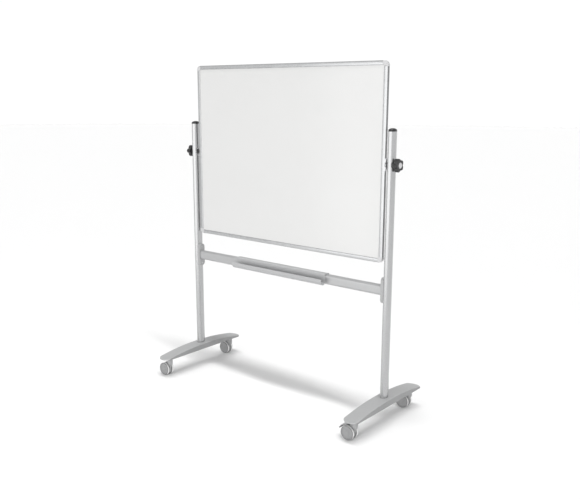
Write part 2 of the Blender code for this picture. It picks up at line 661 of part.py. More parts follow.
def make_tray():
    """A bent ribbon given its wall's thickness."""
    mesh = bpy.data.meshes.new("pen_tray")
    path = tray_path()
    work = bmesh.new()
    start = [work.verts.new((TRAY_CENTRE - TRAY_LENGTH / 2, y, z)) for y, z in path]
    edges = [work.edges.new(pair) for pair in zip(start, start[1:])]
    swept = bmesh.ops.extrude_edge_only(work, edges=edges)["geom"]
    moved = [item for item in swept if isinstance(item, bmesh.types.BMVert)]
    bmesh.ops.translate(work, verts=moved, vec=(TRAY_LENGTH, 0, 0))
    work.to_mesh(mesh)
    work.free()
    tray = bpy.data.objects.new("pen_tray", mesh)
    wall = tray.modifiers.new("wall", "SOLIDIFY")
    wall.thickness = TRAY_WALL
    wall.offset = 0.0
    wall.use_even_offset = True
    place(tray, ALUMINIUM)


# ---------------------------------------------------------------- casters, about their stems
def hood_outline():
    """The web between the wheels in (X, Z): a disc round the axle with an arm up to the neck."""
    disc = arc((-CASTER_TRAIL, WHEEL_RADIUS), WEB_RADIUS, 95, 345, 16)
    front = NECK_RADIUS - ARM_INSET
    return disc + [(0.0, ARM_KNEE), (front, NECK_BOTTOM), (front, ARM_TOP), (-NECK_RADIUS, ARM_TOP)]


def make_hood(name, swivel, with_lever):
    """The web and the neck that turns on the stem."""
    hood = prism(name, [hood_outline()], "Y", -WEB_HALF, WEB_HALF)
    profile = [(0, NECK_TOP), (NECK_RADIUS - NECK_CHAMFER, NECK_TOP),
               (NECK_RADIUS, NECK_TOP - NECK_CHAMFER), (NECK_RADIUS, NECK_BOTTOM), (0, NECK_BOTTOM)]
    neck = turned(name + "_neck", profile, steps=SMALL_STEPS)
    combine(hood, as_tool(neck, swivel), "UNION")
    bore = rod(name + "_bore", STEM_RADIUS + GAP, STEM_BOTTOM - GAP, NECK_TOP + OVERSHOOT,
               steps=SMALL_STEPS)
    combine(hood, as_tool(bore, swivel), "DIFFERENCE")
    reach = WEB_HALF + OVERSHOOT
    axle_hole = rod(name + "_axle_hole", AXLE_RADIUS + GAP, -reach, reach, "Y",
                    (-CASTER_TRAIL, 0, WHEEL_RADIUS), steps=SMALL_STEPS)
    combine(hood, as_tool(axle_hole, swivel), "DIFFERENCE")
    if with_lever:
        x, z = LEVER_PIVOT
        hub = arc(LEVER_PIVOT, LEVER_HUB_RADIUS + 2 * GAP, -30, -150, 6)
        steps = [(x + step_x, z + step_z) for step_x, step_z in ROOM_STEPS]
        room = [(x + ROOM_FRONT, ROOM_TOP), (x + ROOM_FRONT, hub[0][1])] + hub + steps
        room.append((steps[-1][0], ROOM_TOP))
        notch = prism(name + "_lever_room", [room], "Y", -reach, reach)
        combine(hood, as_tool(notch, swivel), "DIFFERENCE")
    place(hood, CASTER_PLASTIC, swivel)


def make_wheel(name, side, swivel):
    """One wheel of the pair, with a dished outer face and a blind bore."""
    width = WHEEL_WIDTH
    bore = AXLE_RADIUS + GAP
    inner = WEB_HALF + 2 * GAP
    blind = AXLE_HALF + GAP - inner
    dish = width - WHEEL_DISH_DEPTH
    profile = [(0, dish), (WHEEL_DISH_RADIUS, dish), (WHEEL_DISH_RADIUS + WHEEL_DISH_SLOPE, width)]
    profile += arc((WHEEL_RADIUS - WHEEL_EDGE, width - WHEEL_EDGE), WHEEL_EDGE, 90, 0, 2)
    profile += [(WHEEL_RADIUS, 0), (bore, 0), (bore, blind), (0, blind)]
    wheel = turned(name, profile, "Y" if side > 0 else "-Y")
    place(wheel, WHEEL_PLASTIC, swivel, (-CASTER_TRAIL, side * inner, WHEEL_RADIUS))


def make_lever(name, swivel):
    """A brake pedal over the back of the wheels, on a hub that snaps into the web."""
    (base_x, base_z), (tip_x, tip_z) = LEVER_BASE, LEVER_TIP
    length = math.hypot(tip_x - base_x, tip_z - base_z)
    down_x, down_z = -(tip_z - base_z) / length, (tip_x - base_x) / length
    steps = 8
    upper = []
    lower = []
    for i in range(steps + 1):
        t = i / steps
        lift = LEVER_BOW * 4 * t * (1 - t)
        x = base_x + (tip_x - base_x) * t - down_x * lift
        z = base_z + (tip_z - base_z) * t - down_z * lift
        upper.append((x, z))
        lower.append((x + down_x * LEVER_THICKNESS, z + down_z * LEVER_THICKNESS))
    pedal = prism(name, [upper + lower[::-1]], "Y", -LEVER_HALF_WIDTH, LEVER_HALF_WIDTH)
    x, z = LEVER_PIVOT
    web = arc(LEVER_PIVOT, LEVER_HUB_RADIUS, 180, 360, 10)
    web += [(x + LEVER_HUB_RADIUS, base_z - LEVER_OVERLAP), (base_x - LEVER_WEB, base_z - LEVER_OVERLAP)]
    hub = prism(name + "_hub", [web], "Y", -WEB_HALF + GAP, WEB_HALF - GAP)
    combine(pedal, as_tool(hub, swivel), "UNION")
    place(pedal, CASTER_PLASTIC, swivel)


def make_caster(word_y, word_x, side_y, side_x):
    """A twin-wheel caster that trails towards -X; the right-hand ones have a brake."""
    name = f"caster_{word_y}_{word_x}"
    stem_axis = (side_x * POST_X, side_y * CASTER_ALONG_FOOT, 0)
    swivel = empty(name + "_swivel", stem_axis)
    braked = side_x > 0
    make_hood(name + "_hood", swivel, braked)
    collar_radius, collar_height = STEM_COLLAR
    collar_low = NECK_TOP + GAP
    stem = [(0, STEM_TOP), (STEM_RADIUS, STEM_TOP), (STEM_RADIUS, collar_low + collar_height),
            (collar_radius, collar_low + collar_height), (collar_radius, collar_low),
            (STEM_RADIUS, collar_low), (STEM_RADIUS, STEM_BOTTOM), (0, STEM_BOTTOM)]
    place(turned(name + "_stem", stem, steps=SMALL_STEPS), STEEL, swivel)
    axle = rod(name + "_axle", AXLE_RADIUS, -AXLE_HALF, AXLE_HALF, "Y", steps=SMALL_STEPS)
    place(axle, STEEL, swivel, (-CASTER_TRAIL, 0, WHEEL_RADIUS))
    for word, side in (("front", -1), ("back", 1)):
        make_wheel(f"{name}_wheel_{word}", side, swivel)
    if braked:
        make_lever(name + "_brake_lever", swivel)


# ---------------------------------------------------------------- the whole object
make_board()
for side_word, side_sign in (("left", -1), ("right", 1)):
    make_knob(side_word, side_sign)
    make_post(side_word, side_sign)
    make_foot(side_word, side_sign)
    make_caster("front", side_word, -1, side_sign)
    make_caster("back", side_word, 1, side_sign)
make_crossbar()
make_tray()
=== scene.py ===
"""Looks of the rolling whiteboard: finished meshes, materials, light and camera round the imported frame.

Metres, +Z up. Places and sizes come from the frame's own boxes wherever the frame has them.
"""
import json
import math

import bmesh
import bpy
from mathutils import Matrix, Vector

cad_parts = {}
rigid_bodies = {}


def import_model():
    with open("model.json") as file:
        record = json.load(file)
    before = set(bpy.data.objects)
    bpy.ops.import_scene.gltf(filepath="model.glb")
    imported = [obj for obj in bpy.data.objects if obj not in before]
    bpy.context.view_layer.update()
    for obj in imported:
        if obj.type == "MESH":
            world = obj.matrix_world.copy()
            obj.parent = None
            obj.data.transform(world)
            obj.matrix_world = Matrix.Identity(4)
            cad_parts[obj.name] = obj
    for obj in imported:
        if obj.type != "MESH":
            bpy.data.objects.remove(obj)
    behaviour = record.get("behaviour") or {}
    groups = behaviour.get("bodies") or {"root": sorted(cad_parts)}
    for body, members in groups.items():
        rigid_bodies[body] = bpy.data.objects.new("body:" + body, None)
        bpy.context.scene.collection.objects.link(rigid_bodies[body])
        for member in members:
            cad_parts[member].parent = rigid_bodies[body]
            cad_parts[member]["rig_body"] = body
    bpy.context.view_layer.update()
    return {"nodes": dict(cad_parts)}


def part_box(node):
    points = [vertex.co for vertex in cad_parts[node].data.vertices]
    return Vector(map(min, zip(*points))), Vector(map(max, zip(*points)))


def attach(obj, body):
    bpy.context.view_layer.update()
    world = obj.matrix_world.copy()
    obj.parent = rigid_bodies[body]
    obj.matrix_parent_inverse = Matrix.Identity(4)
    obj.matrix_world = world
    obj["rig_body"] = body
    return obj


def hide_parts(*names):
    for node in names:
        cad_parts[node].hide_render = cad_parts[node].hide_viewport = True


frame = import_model()
NODES = frame["nodes"]
SIDES = (("left", -1), ("right", 1))
ENDS = (("front", -1), ("back", 1))

# ---------------------------------------------------------------- shader nodes
MIX_A, MIX_B, MIX_RESULT = 6, 7, 2    # a Mix node's sockets for colours
NOISE_RANGE = (0.3, 0.7)          # nearly all of a noise texture's values lie in it
WHITE = (1.0, 1.0, 1.0)


def noise(nodes, links, vector, scale, detail):
    """A noise texture read at a vector."""
    texture = nodes.new("ShaderNodeTexNoise")
    texture.inputs["Scale"].default_value = scale
    texture.inputs["Detail"].default_value = detail
    links.new(vector, texture.inputs["Vector"])
    return texture.outputs["Fac"]


def ramp(nodes, links, fac, low, high):
    """A colour that goes from low to high over a noise texture's range."""
    node = nodes.new("ShaderNodeValToRGB")
    for element, position, colour in zip(node.color_ramp.elements, NOISE_RANGE, (low, high)):
        element.position = position
        element.color = (*colour, 1.0)
    links.new(fac, node.inputs["Fac"])
    return node.outputs["Color"]


def mapped(nodes, links, value, source, target):
    """A value carried from one range to another, and held at that range's ends."""
    node = nodes.new("ShaderNodeMapRange")
    node.inputs["From Min"].default_value = source[0]
    node.inputs["From Max"].default_value = source[1]
    node.inputs["To Min"].default_value = target[0]
    node.inputs["To Max"].default_value = target[1]
    links.new(value, node.inputs["Value"])
    return node.outputs["Result"]


def multiplied(nodes, links, colour, scale):
    """A colour multiplied by another colour or by a value."""
    node = nodes.new("ShaderNodeMix")
    node.data_type = "RGBA"
    node.blend_type = "MULTIPLY"
    node.inputs["Factor"].default_value = 1.0
    links.new(colour, node.inputs[MIX_A])
    links.new(scale, node.inputs[MIX_B])
    return node.outputs[MIX_RESULT]


# ---------------------------------------------------------------- camera, light and floor
CAMERA_PLACE = (2.384, -2.788, 1.526)
CAMERA_YAW = 39.03                # degrees
CAMERA_PITCH = -12.54
CAMERA_ROLL = 0.37
CAMERA_SENSOR = 36.0
CAMERA_LENS = 45.56
CAMERA_SHIFT = (-0.0213, 0.0181)

WALL_LEVEL = 1.02
WALL_TOP = 0.26                   # sine of the elevation where the white walls end
CEILING_START = 0.40              # and the sine of the elevation where the ceiling begins
CEILING_LEVEL = 0.60
FLOOR_COLOUR = 0.79
FLOOR_ROUGHNESS = 0.95
FLOOR_RADIUS = 40.0
LAMPS = 9                         # in a row over the object
LAMP_SLOPES = (-0.13, 0.57)       # how far the row reaches towards +X for each metre of height
LAMP_SLOPE_FRONT = 0.122          # and how far they all stand towards -Y
LAMP_STRENGTH = 0.225
LAMP_SPREAD = 6.0
KEY_PLACE = (1.3, -2.95, 1.12)
KEY_SIZE = (6.6, 2.2)
KEY_WATTS = 54.0


def make_camera():
    """A camera ahead of the board and to its right, a little above its middle."""
    data = bpy.data.cameras.new("camera")
    data.sensor_width = CAMERA_SENSOR
    data.lens = CAMERA_LENS
    data.shift_x, data.shift_y = CAMERA_SHIFT
    camera = bpy.data.objects.new("camera", data)
    bpy.context.scene.collection.objects.link(camera)
    turn = (Matrix.Rotation(math.radians(CAMERA_YAW), 4, "Z")
            @ Matrix.Rotation(math.radians(90 + CAMERA_PITCH), 4, "X")
            @ Matrix.Rotation(math.radians(CAMERA_ROLL), 4, "Z"))
    camera.matrix_world = Matrix.Translation(CAMERA_PLACE) @ turn
    bpy.context.scene.camera = camera


def make_light(name, kind, direction, energy):
    """A lamp that shines along a direction."""
    data = bpy.data.lights.new(name, kind)
    data.energy = energy
    light = bpy.data.objects.new(name, data)
    bpy.context.scene.collection.objects.link(light)
    light.rotation_euler = Vector(direction).to_track_quat("-Z", "Y").to_euler()
    return light


def make_lights():
    """A row of soft lamps overhead, and one broad soft box in front."""
    start, end = LAMP_SLOPES
    for number in range(LAMPS):
        slope = start + (end - start) * number / (LAMPS - 1)
        lamp = make_light(f"overhead_{number}", "SUN", (-slope, LAMP_SLOPE_FRONT, -1.0), LAMP_STRENGTH)
        lamp.data.angle = math.radians(LAMP_SPREAD)
    key = make_light("key", "AREA", (0.0, 1.0, 0.0), KEY_WATTS)
    key.location = KEY_PLACE
    key.data.shape = "RECTANGLE"
    key.data.size, key.data.size_y = KEY_SIZE
    key.visible_camera = False


def make_world():
    """White walls all round, and a ceiling that is darker than they are."""
    world = bpy.data.worlds.new("studio")
    world.use_nodes = True
    nodes = world.node_tree.nodes
    links = world.node_tree.links
    direction = nodes.new("ShaderNodeTexCoord")
    parts = nodes.new("ShaderNodeSeparateXYZ")
    links.new(direction.outputs["Generated"], parts.inputs["Vector"])
    level = mapped(nodes, links, parts.outputs["Z"], (WALL_TOP, CEILING_START), (WALL_LEVEL, CEILING_LEVEL))
    links.new(level, nodes["Background"].inputs["Strength"])
    nodes["Background"].inputs["Color"].default_value = (*WHITE, 1.0)
    bpy.context.scene.world = world


def make_floor():
    """A wide pale floor."""
    mesh = bpy.data.meshes.new("floor")
    work = bmesh.new()
    bmesh.ops.create_circle(work, cap_ends=True, radius=FLOOR_RADIUS, segments=64)
    work.to_mesh(mesh)
    work.free()
    floor = bpy.data.objects.new("floor", mesh)
    bpy.context.scene.collection.objects.link(floor)
    material = bpy.data.materials.new("floor_paper")
    material.use_nodes = True
    shader = material.node_tree.nodes["Principled BSDF"]
    shader.inputs["Base Color"].default_value = (FLOOR_COLOUR, FLOOR_COLOUR, FLOOR_COLOUR, 1.0)
    shader.inputs["Roughness"].default_value = FLOOR_ROUGHNESS
    mesh.materials.append(material)


# ---------------------------------------------------------------- materials
GRAIN_DETAIL = 3.0
DRIFT_DETAIL = 4.0
SMEAR_DETAIL = 2.0
SMOOTHEST = 0.04                  # no finish is less rough than this
WEAR_RANGE = (0.52, 0.62)         # the pointiness from a fresh surface to a rubbed edge
WEAR_GAIN = 1.25                  # a rubbed edge's colour is scaled by this, and lifted
WEAR_LIFT = 0.04
PAINTED_SHADE_RANGE = (0.6, 0.85)          # the normal's part along X, from a front or top face to a side, over which the painted side shade comes in


def with_painted_side_shade(nodes, links, normal, colour, painted_side_shade):
    """A colour that is scaled on faces that look along X: painted shade on the sides."""
    parts = nodes.new("ShaderNodeSeparateXYZ")
    links.new(normal, parts.inputs["Vector"])
    size = nodes.new("ShaderNodeMath")
    size.operation = "ABSOLUTE"
    links.new(parts.outputs["X"], size.inputs[0])
    tone = mapped(nodes, links, size.outputs["Value"], PAINTED_SHADE_RANGE, (1.0, painted_side_shade))
    return multiplied(nodes, links, colour, tone)


def rubbed(nodes, links, flecked, colour, edge):
    """A flecked colour that is lighter where an edge is worn."""
    node = nodes.new("ShaderNodeMix")
    node.data_type = "RGBA"
    node.inputs[MIX_B].default_value = (*[min(1.0, c * WEAR_GAIN + WEAR_LIFT) for c in colour], 1.0)
    pointed = nodes.new("ShaderNodeNewGeometry").outputs["Pointiness"]
    links.new(mapped(nodes, links, pointed, WEAR_RANGE, (0.0, edge)), node.inputs["Factor"])
    links.new(flecked, node.inputs[MIX_A])
    return node.outputs[MIX_RESULT]


def finish(name, colour, roughness, metallic=0.0, drift=0.03, drift_scale=7.0, fleck=0.02,
           grain_scale=900.0, stretch=(1.0, 1.0, 1.0), grain=0.05, smear=0.04, smear_scale=14.0,
           bump=0.1, depth=0.0001, edge=0.06, painted_side_shade=1.0):
    """A procedural surface.

    The base colour drifts over the piece, is flecked by the grain and lightens on worn edges, and
    on faces that look along X it can be scaled down as painted shade on the sides. The roughness
    varies with the grain and with broad smears, and the grain stands up as fine relief.
    """
    material = bpy.data.materials.new(name)
    material.use_nodes = True
    nodes = material.node_tree.nodes
    links = material.node_tree.links
    shader = nodes["Principled BSDF"]
    shader.inputs["Metallic"].default_value = metallic
    surface = nodes.new("ShaderNodeTexCoord")
    place = surface.outputs["Object"]
    mapping = nodes.new("ShaderNodeMapping")
    mapping.inputs["Scale"].default_value = stretch
    links.new(place, mapping.inputs["Vector"])
    fine = noise(nodes, links, mapping.outputs["Vector"], grain_scale, GRAIN_DETAIL)

    broad = noise(nodes, links, place, drift_scale, DRIFT_DETAIL)
    darker = [c * (1 - drift) for c in colour]
    lighter = [min(1.0, c * (1 + drift)) for c in colour]
    base = ramp(nodes, links, broad, darker, lighter)
    flecks = ramp(nodes, links, fine, [1 - fleck] * 3, WHITE)
    tint = rubbed(nodes, links, multiplied(nodes, links, base, flecks), colour, edge)
    if painted_side_shade != 1.0:
        tint = with_painted_side_shade(nodes, links, surface.outputs["Normal"], tint, painted_side_shade)
    links.new(tint, shader.inputs["Base Color"])

    smears = noise(nodes, links, place, smear_scale, SMEAR_DETAIL)
    smeared = mapped(nodes, links, smears, NOISE_RANGE, (-smear, smear))
    limits = (max(SMOOTHEST, roughness - grain), min(1.0, roughness + grain))
    grained = mapped(nodes, links, fine, NOISE_RANGE, limits)
    total = nodes.new("ShaderNodeMath")
    total.use_clamp = True
    links.new(smeared, total.inputs[0])
    links.new(grained, total.inputs[1])
    links.new(total.outputs["Value"], shader.inputs["Roughness"])

    relief = nodes.new("ShaderNodeBump")
    relief.inputs["Strength"].default_value = bump
    relief.inputs["Distance"].default_value = depth
    links.new(fine, relief.inputs["Height"])
    links.new(relief.outputs["Normal"], shader.inputs["Normal"])
    return material


ALONG_X = (0.02, 1.0, 1.0)        # grain drawn out along one axis
ALONG_Z = (1.0, 1.0, 0.02)
RAIL_METAL = {"metallic": 0.95, "drift": 0.02, "grain": 0.06, "bump": 0.15}
CAST_PAINT = {"metallic": 0.25, "fleck": 0.10, "grain_scale": 620.0, "bump": 0.3, "depth": 0.00015}

ENAMEL = finish("writing_enamel", (0.615, 0.615, 0.61), 0.18, drift=0.006, drift_scale=2.5, fleck=0.004,
                grain_scale=260.0, grain=0.02, smear=0.05, smear_scale=9.0, bump=0.03, edge=0.0)
RAIL_ACROSS = finish("rail_aluminium_across", (0.46, 0.465, 0.47), 0.27, stretch=ALONG_X, **RAIL_METAL)
# painted shade: the upright rails' faces that look along X, their outer sides among them, are darkened in
# the colour
RAIL_UPRIGHT = finish("rail_aluminium_upright", (0.46, 0.465, 0.47), 0.27, stretch=ALONG_Z, painted_side_shade=0.52,
                      **RAIL_METAL)
TRAY_METAL = finish("tray_aluminium", (0.40, 0.403, 0.408), 0.42, metallic=0.15, drift=0.02,
                    stretch=ALONG_X, grain=0.06, bump=0.15)
CORNER = finish("corner_cap_plastic", (0.52, 0.52, 0.525), 0.42, fleck=0.03, bump=0.15)
POST_PAINT = finish("post_silver_paint", (0.46, 0.463, 0.467), 0.22, metallic=0.8, drift=0.01,
                    fleck=0.03, stretch=ALONG_Z, grain=0.03, smear=0.015, bump=0.04)
BAR_PAINT = finish("bar_silver_paint", (0.42, 0.423, 0.427), 0.36, metallic=0.5, drift=0.02,
                   fleck=0.05, stretch=(0.2, 1.0, 1.0), bump=0.12)
CASTING = finish("bracket_silver_paint", (0.385, 0.388, 0.391), 0.48, **CAST_PAINT)
# painted shade: the feet's long sides, which look along X, are darkened in the colour
FOOT_PAINT = finish("foot_silver_paint", (0.400, 0.403, 0.406), 0.48, painted_side_shade=0.74, **CAST_PAINT)
STEEL = finish("plated_steel", (0.62, 0.62, 0.63), 0.27, metallic=0.9, drift=0.015, fleck=0.02,
               grain=0.03, smear=0.02, bump=0.03)
BLACK = finish("black_moulding", (0.018, 0.018, 0.019), 0.36, drift=0.08, fleck=0.15, grain=0.08,
               bump=0.25, edge=0.3)
CASTER_GREY = finish("caster_moulding", (0.36, 0.362, 0.366), 0.5, fleck=0.05, bump=0.2)
WHEEL_GREY = finish("wheel_moulding", (0.30, 0.302, 0.305), 0.5, fleck=0.05, bump=0.2)
# a light ring round the tyre's shoulder: a painted highlight
PAINTED_HIGHLIGHT_GREY = finish("wheel_band", (0.86, 0.86, 0.86), 0.3, fleck=0.04, bump=0.1)
TYRE_GREY = finish("wheel_tyre", (0.235, 0.237, 0.24), 0.65, fleck=0.08, grain_scale=500.0, bump=0.3)
CORE = finish("fibre_core", (0.50, 0.40, 0.28), 0.9, fleck=0.3, bump=0.3)


# ---------------------------------------------------------------- making meshes
SMALLEST_RADIUS = 1e-5            # a ring on the axis keeps this much radius
WELD_DISTANCE = 1e-6
SHARP_ANGLE = 38                  # degrees


def cleaned(mesh):
    """Weld a mesh's doubled points and turn its faces outwards."""
    work = bmesh.new()
    work.from_mesh(mesh)
    bmesh.ops.remove_doubles(work, verts=work.verts, dist=WELD_DISTANCE)
    bmesh.ops.recalc_face_normals(work, faces=work.faces)
    work.to_mesh(mesh)
    work.free()
    return mesh


def loft(name, rings, looped=False):
    """Skin a row of rings that each have the same number of points; a looped row has no ends."""
    work = bmesh.new()
    rows = [[work.verts.new(point) for point in ring] for ring in rings]
    pairs = list(zip(rows, rows[1:]))
    if looped:
        pairs.append((rows[-1], rows[0]))
    for low, high in pairs:
        for i in range(len(low)):
            j = (i + 1) % len(low)
            work.faces.new((low[i], low[j], high[j], high[i]))
    if not looped:
        work.faces.new(rows[0])
        work.faces.new(rows[-1][::-1])
    mesh = bpy.data.meshes.new(name)
    work.to_mesh(mesh)
    work.free()
    return cleaned(mesh)


AXES = {
    "X": Matrix(((0, 0, 1, 0), (1, 0, 0, 0), (0, 1, 0, 0), (0, 0, 0, 1))),
    "-X": Matrix(((0, 0, -1, 0), (-1, 0, 0, 0), (0, 1, 0, 0), (0, 0, 0, 1))),
    "Y": Matrix(((1, 0, 0, 0), (0, 0, 1, 0), (0, -1, 0, 0), (0, 0, 0, 1))),
    "-Y": Matrix(((1, 0, 0, 0), (0, 0, -1, 0), (0, 1, 0, 0), (0, 0, 0, 1))),
    "Z": Matrix.Identity(4),
}


def lathe(name, profile, axis="Z", centre=(0.0, 0.0, 0.0), steps=64, shape=None, looped=False):
    """Turn a profile of (radius, height) points round an axis; shape(radius, angle) may bend the radius."""
    rings = []
    for radius, height in profile:
        ring = []
        for i in range(steps):
            angle = 2 * math.pi * i / steps
            reach = max(shape(radius, angle) if shape else radius, SMALLEST_RADIUS)
            ring.append((reach * math.cos(angle), reach * math.sin(angle), height))
        rings.append(ring)
    mesh = loft(name, rings, looped)
    mesh.transform(Matrix.Translation(centre) @ AXES[axis])
    return cleaned(mesh)


def prism(name, loops, axis, low, high):
    """Outlines in the plane across an axis, (Y, Z), (X, Z) or (X, Y), drawn out from low to high."""
    curve = bpy.data.curves.new(name, "CURVE")
    curve.dimensions = "2D"
    curve.fill_mode = "BOTH"
    curve.extrude = (high - low) / 2
    for loop in loops:
        spline = curve.splines.new("POLY")
        spline.points.add(len(loop) - 1)
        for point, (u, v) in zip(spline.points, loop):
            point.co = (u, v, 0.0, 1.0)
        spline.use_cyclic_u = True
    mesh = baked(bpy.data.objects.new(name, curve))
    turn = {"X": AXES["X"], "Y": AXES["-Y"], "Z": AXES["Z"]}[axis]
    middle = (low + high) / 2
    along = {"X": (middle, 0, 0), "Y": (0, middle, 0), "Z": (0, 0, middle)}[axis]
    mesh.transform(Matrix.Translation(along) @ turn)
    return cleaned(mesh)


def baked(obj):
    """The mesh of an unlinked object with its modifiers or curve carried out; the object is removed."""
    bpy.context.scene.collection.objects.link(obj)
    mesh = bpy.data.meshes.new_from_object(obj.evaluated_get(bpy.context.evaluated_depsgraph_get()))
    bpy.data.objects.remove(obj, do_unlink=True)
    return cleaned(mesh)


def rounded(mesh, width, segments=3, angle=40.0):
    """The mesh with its sharp edges rounded."""
    obj = bpy.data.objects.new(mesh.name, mesh)
    bevel = obj.modifiers.new("edges", "BEVEL")
    bevel.width = width
    bevel.segments = segments
    bevel.limit_method = "ANGLE"
    bevel.angle_limit = math.radians(angle)
    return baked(obj)


def combined(mesh, tool, operation):
    """The mesh cut by a tool mesh, or joined with it."""
    cutter = bpy.data.objects.new("tool", tool)
    bpy.context.scene.collection.objects.link(cutter)
    obj = bpy.data.objects.new(mesh.name, mesh)
    modifier = obj.modifiers.new("combine", "BOOLEAN")
    modifier.operation = operation
    modifier.object = cutter
    result = baked(obj)
    bpy.data.objects.remove(cutter, do_unlink=True)
    return result


def merged(name, meshes):
    """Several meshes in one."""
    work = bmesh.new()
    for mesh in meshes:
        work.from_mesh(mesh)
    whole = bpy.data.meshes.new(name)
    work.to_mesh(whole)
    work.free()
    return whole


def block(name, low, high):
    """A box between two corners, for cutting with."""
    mesh = bpy.data.meshes.new(name)
    work = bmesh.new()
    bmesh.ops.create_cube(work, size=1.0)
    size = [b - a for a, b in zip(low, high)]
    middle = [(a + b) / 2 for a, b in zip(low, high)]
    bmesh.ops.scale(work, verts=work.verts, vec=size)
    bmesh.ops.translate(work, verts=work.verts, vec=middle)
    work.to_mesh(mesh)
    work.free()
    return mesh


def piece(name, mesh, material, body, nodes=()):
    """Put a finished mesh into the scene, on its body and in place of CAD nodes."""
    obj = bpy.data.objects.new(name, mesh)
    bpy.context.scene.collection.objects.link(obj)
    mesh.materials.clear()
    mesh.materials.append(material)
    mesh.shade_smooth()
    mesh.set_sharp_from_angle(angle=math.radians(SHARP_ANGLE))
    normals = obj.modifiers.new("normals", "WEIGHTED_NORMAL")
    normals.keep_sharp = True
    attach(obj, body)
    if nodes:
        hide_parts(*nodes)


def remake(node, mesh, material):
    """Replace a CAD node with a finished mesh."""
    piece(node + "_finished", mesh, material, NODES[node]["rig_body"], [node])


def dress(node, material):
    """Give a CAD node that keeps its shape its finished material."""
    NODES[node].data.materials.clear()
    NODES[node].data.materials.append(material)


def arc(centre, radius, start, end, steps):
    """Points on a circle from one angle to another, in degrees."""
    angles = [math.radians(start + (end - start) * i / steps) for i in range(steps + 1)]
    return [(centre[0] + radius * math.cos(a), centre[1] + radius * math.sin(a)) for a in angles]


def rounded_rectangle(half_u, half_v, radius, centre=(0.0, 0.0), steps=12):
    """A rectangle's outline with round corners."""
    points = []
    for turn, (sign_u, sign_v) in enumerate(((1, 1), (-1, 1), (-1, -1), (1, -1))):
        middle = (centre[0] + sign_u * (half_u - radius), centre[1] + sign_v * (half_v - radius))
        points += arc(middle, radius, 90 * turn, 90 * turn + 90, steps)
    return points


def ellipse(half_u, half_v, centre=(0.0, 0.0), steps=96):
    """An ellipse's outline."""
    angles = [2 * math.pi * i / steps for i in range(steps)]
    return [(centre[0] + half_u * math.cos(a), centre[1] + half_v * math.sin(a)) for a in angles]


def centre_of(node):
    """The middle of a CAD node's box."""
    low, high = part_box(node)
    return (low + high) / 2


def span_of(node):
    """How near to the board's middle a node comes, and how far from it."""
    low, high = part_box(node)
    return sorted((abs(low.x), abs(high.x)))


def outward(side):
    """The axis that points away from the board on one side."""
    return "X" if side > 0 else "-X"


# ---------------------------------------------------------------- the board
FIT = 0.0003                      # the gap between two pieces that meet
OVERCUT = 0.01                    # how far a cutting tool reaches past what it cuts
STUD_HOLE = 0.0043
RAIL_EDGE = 0.0028
RAIL_CROWN = 0.0006               # how far the middle of a rail's face stands above its edges
CROWN_STEPS = 12
RAIL_LIP = 0.0012
RAIL_GROOVE = (0.0026, 0.0005)    # distance from the lip, depth
RAIL_SLOT = 0.008
RAIL_WALL = 0.0018
SLOT_HALF = 0.007
CORNER_RADIUS = 0.022
CORNER_SIZE = 0.025
CORNER_EDGE = 0.0013


def rail_outline(face, half):
    """The frame rail's section: (distance in from the outer edge, depth)."""
    shoulder = -half + RAIL_CROWN
    front = arc((RAIL_EDGE, shoulder + RAIL_EDGE), RAIL_EDGE, 180, 270, 8)
    distance, depth = RAIL_GROOVE
    start, end = RAIL_EDGE, face - distance
    for i in range(1, CROWN_STEPS):
        t = i / CROWN_STEPS
        front.append((start + (end - start) * t, shoulder - RAIL_CROWN * 4 * t * (1 - t)))
    front += [(end, shoulder), (end + depth, shoulder + depth), (end + 2 * depth, shoulder)]
    front += arc((face - RAIL_LIP, shoulder + RAIL_LIP), RAIL_LIP, 270, 360, 4)
    front += [(face, -SLOT_HALF), (RAIL_SLOT, -SLOT_HALF)]
    inner = RAIL_SLOT - RAIL_WALL
    reach = half - RAIL_WALL - RAIL_CROWN
    chamber = [(RAIL_WALL, -reach), (inner, -reach), (inner, reach), (RAIL_WALL, reach)]
    return front + [(a, -d) for a, d in front[::-1]], chamber


def make_rails():
    """Four extruded rails with a crowned face, a shadow groove and a rounded inner lip."""
    for word, side in (("bottom", -1), ("top", 1)):
        node = "frame_rail_" + word
        low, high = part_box(node)
        edge = high.z if side > 0 else low.z
        section = rail_outline(high.z - low.z, high.y)
        loops = [[(d, edge - side * a) for a, d in loop] for loop in section]
        remake(node, prism(node, loops, "X", low.x, high.x), RAIL_ACROSS)
    for word, side in SIDES:
        node = "frame_rail_" + word
        low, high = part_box(node)
        edge = high.x if side > 0 else low.x
        section = rail_outline(high.x - low.x, high.y)
        loops = [[(edge - side * a, d) for a, d in loop] for loop in section]
        mesh = prism(node, loops, "Z", low.z, high.z)
        hole = lathe("hole", [(STUD_HOLE, -RAIL_WALL * 1.5), (STUD_HOLE, RAIL_WALL)], outward(side),
                     (edge, 0.0, centre_of("pivot_stud_" + word).z), steps=32)
        remake(node, combined(mesh, hole, "DIFFERENCE"), RAIL_UPRIGHT)


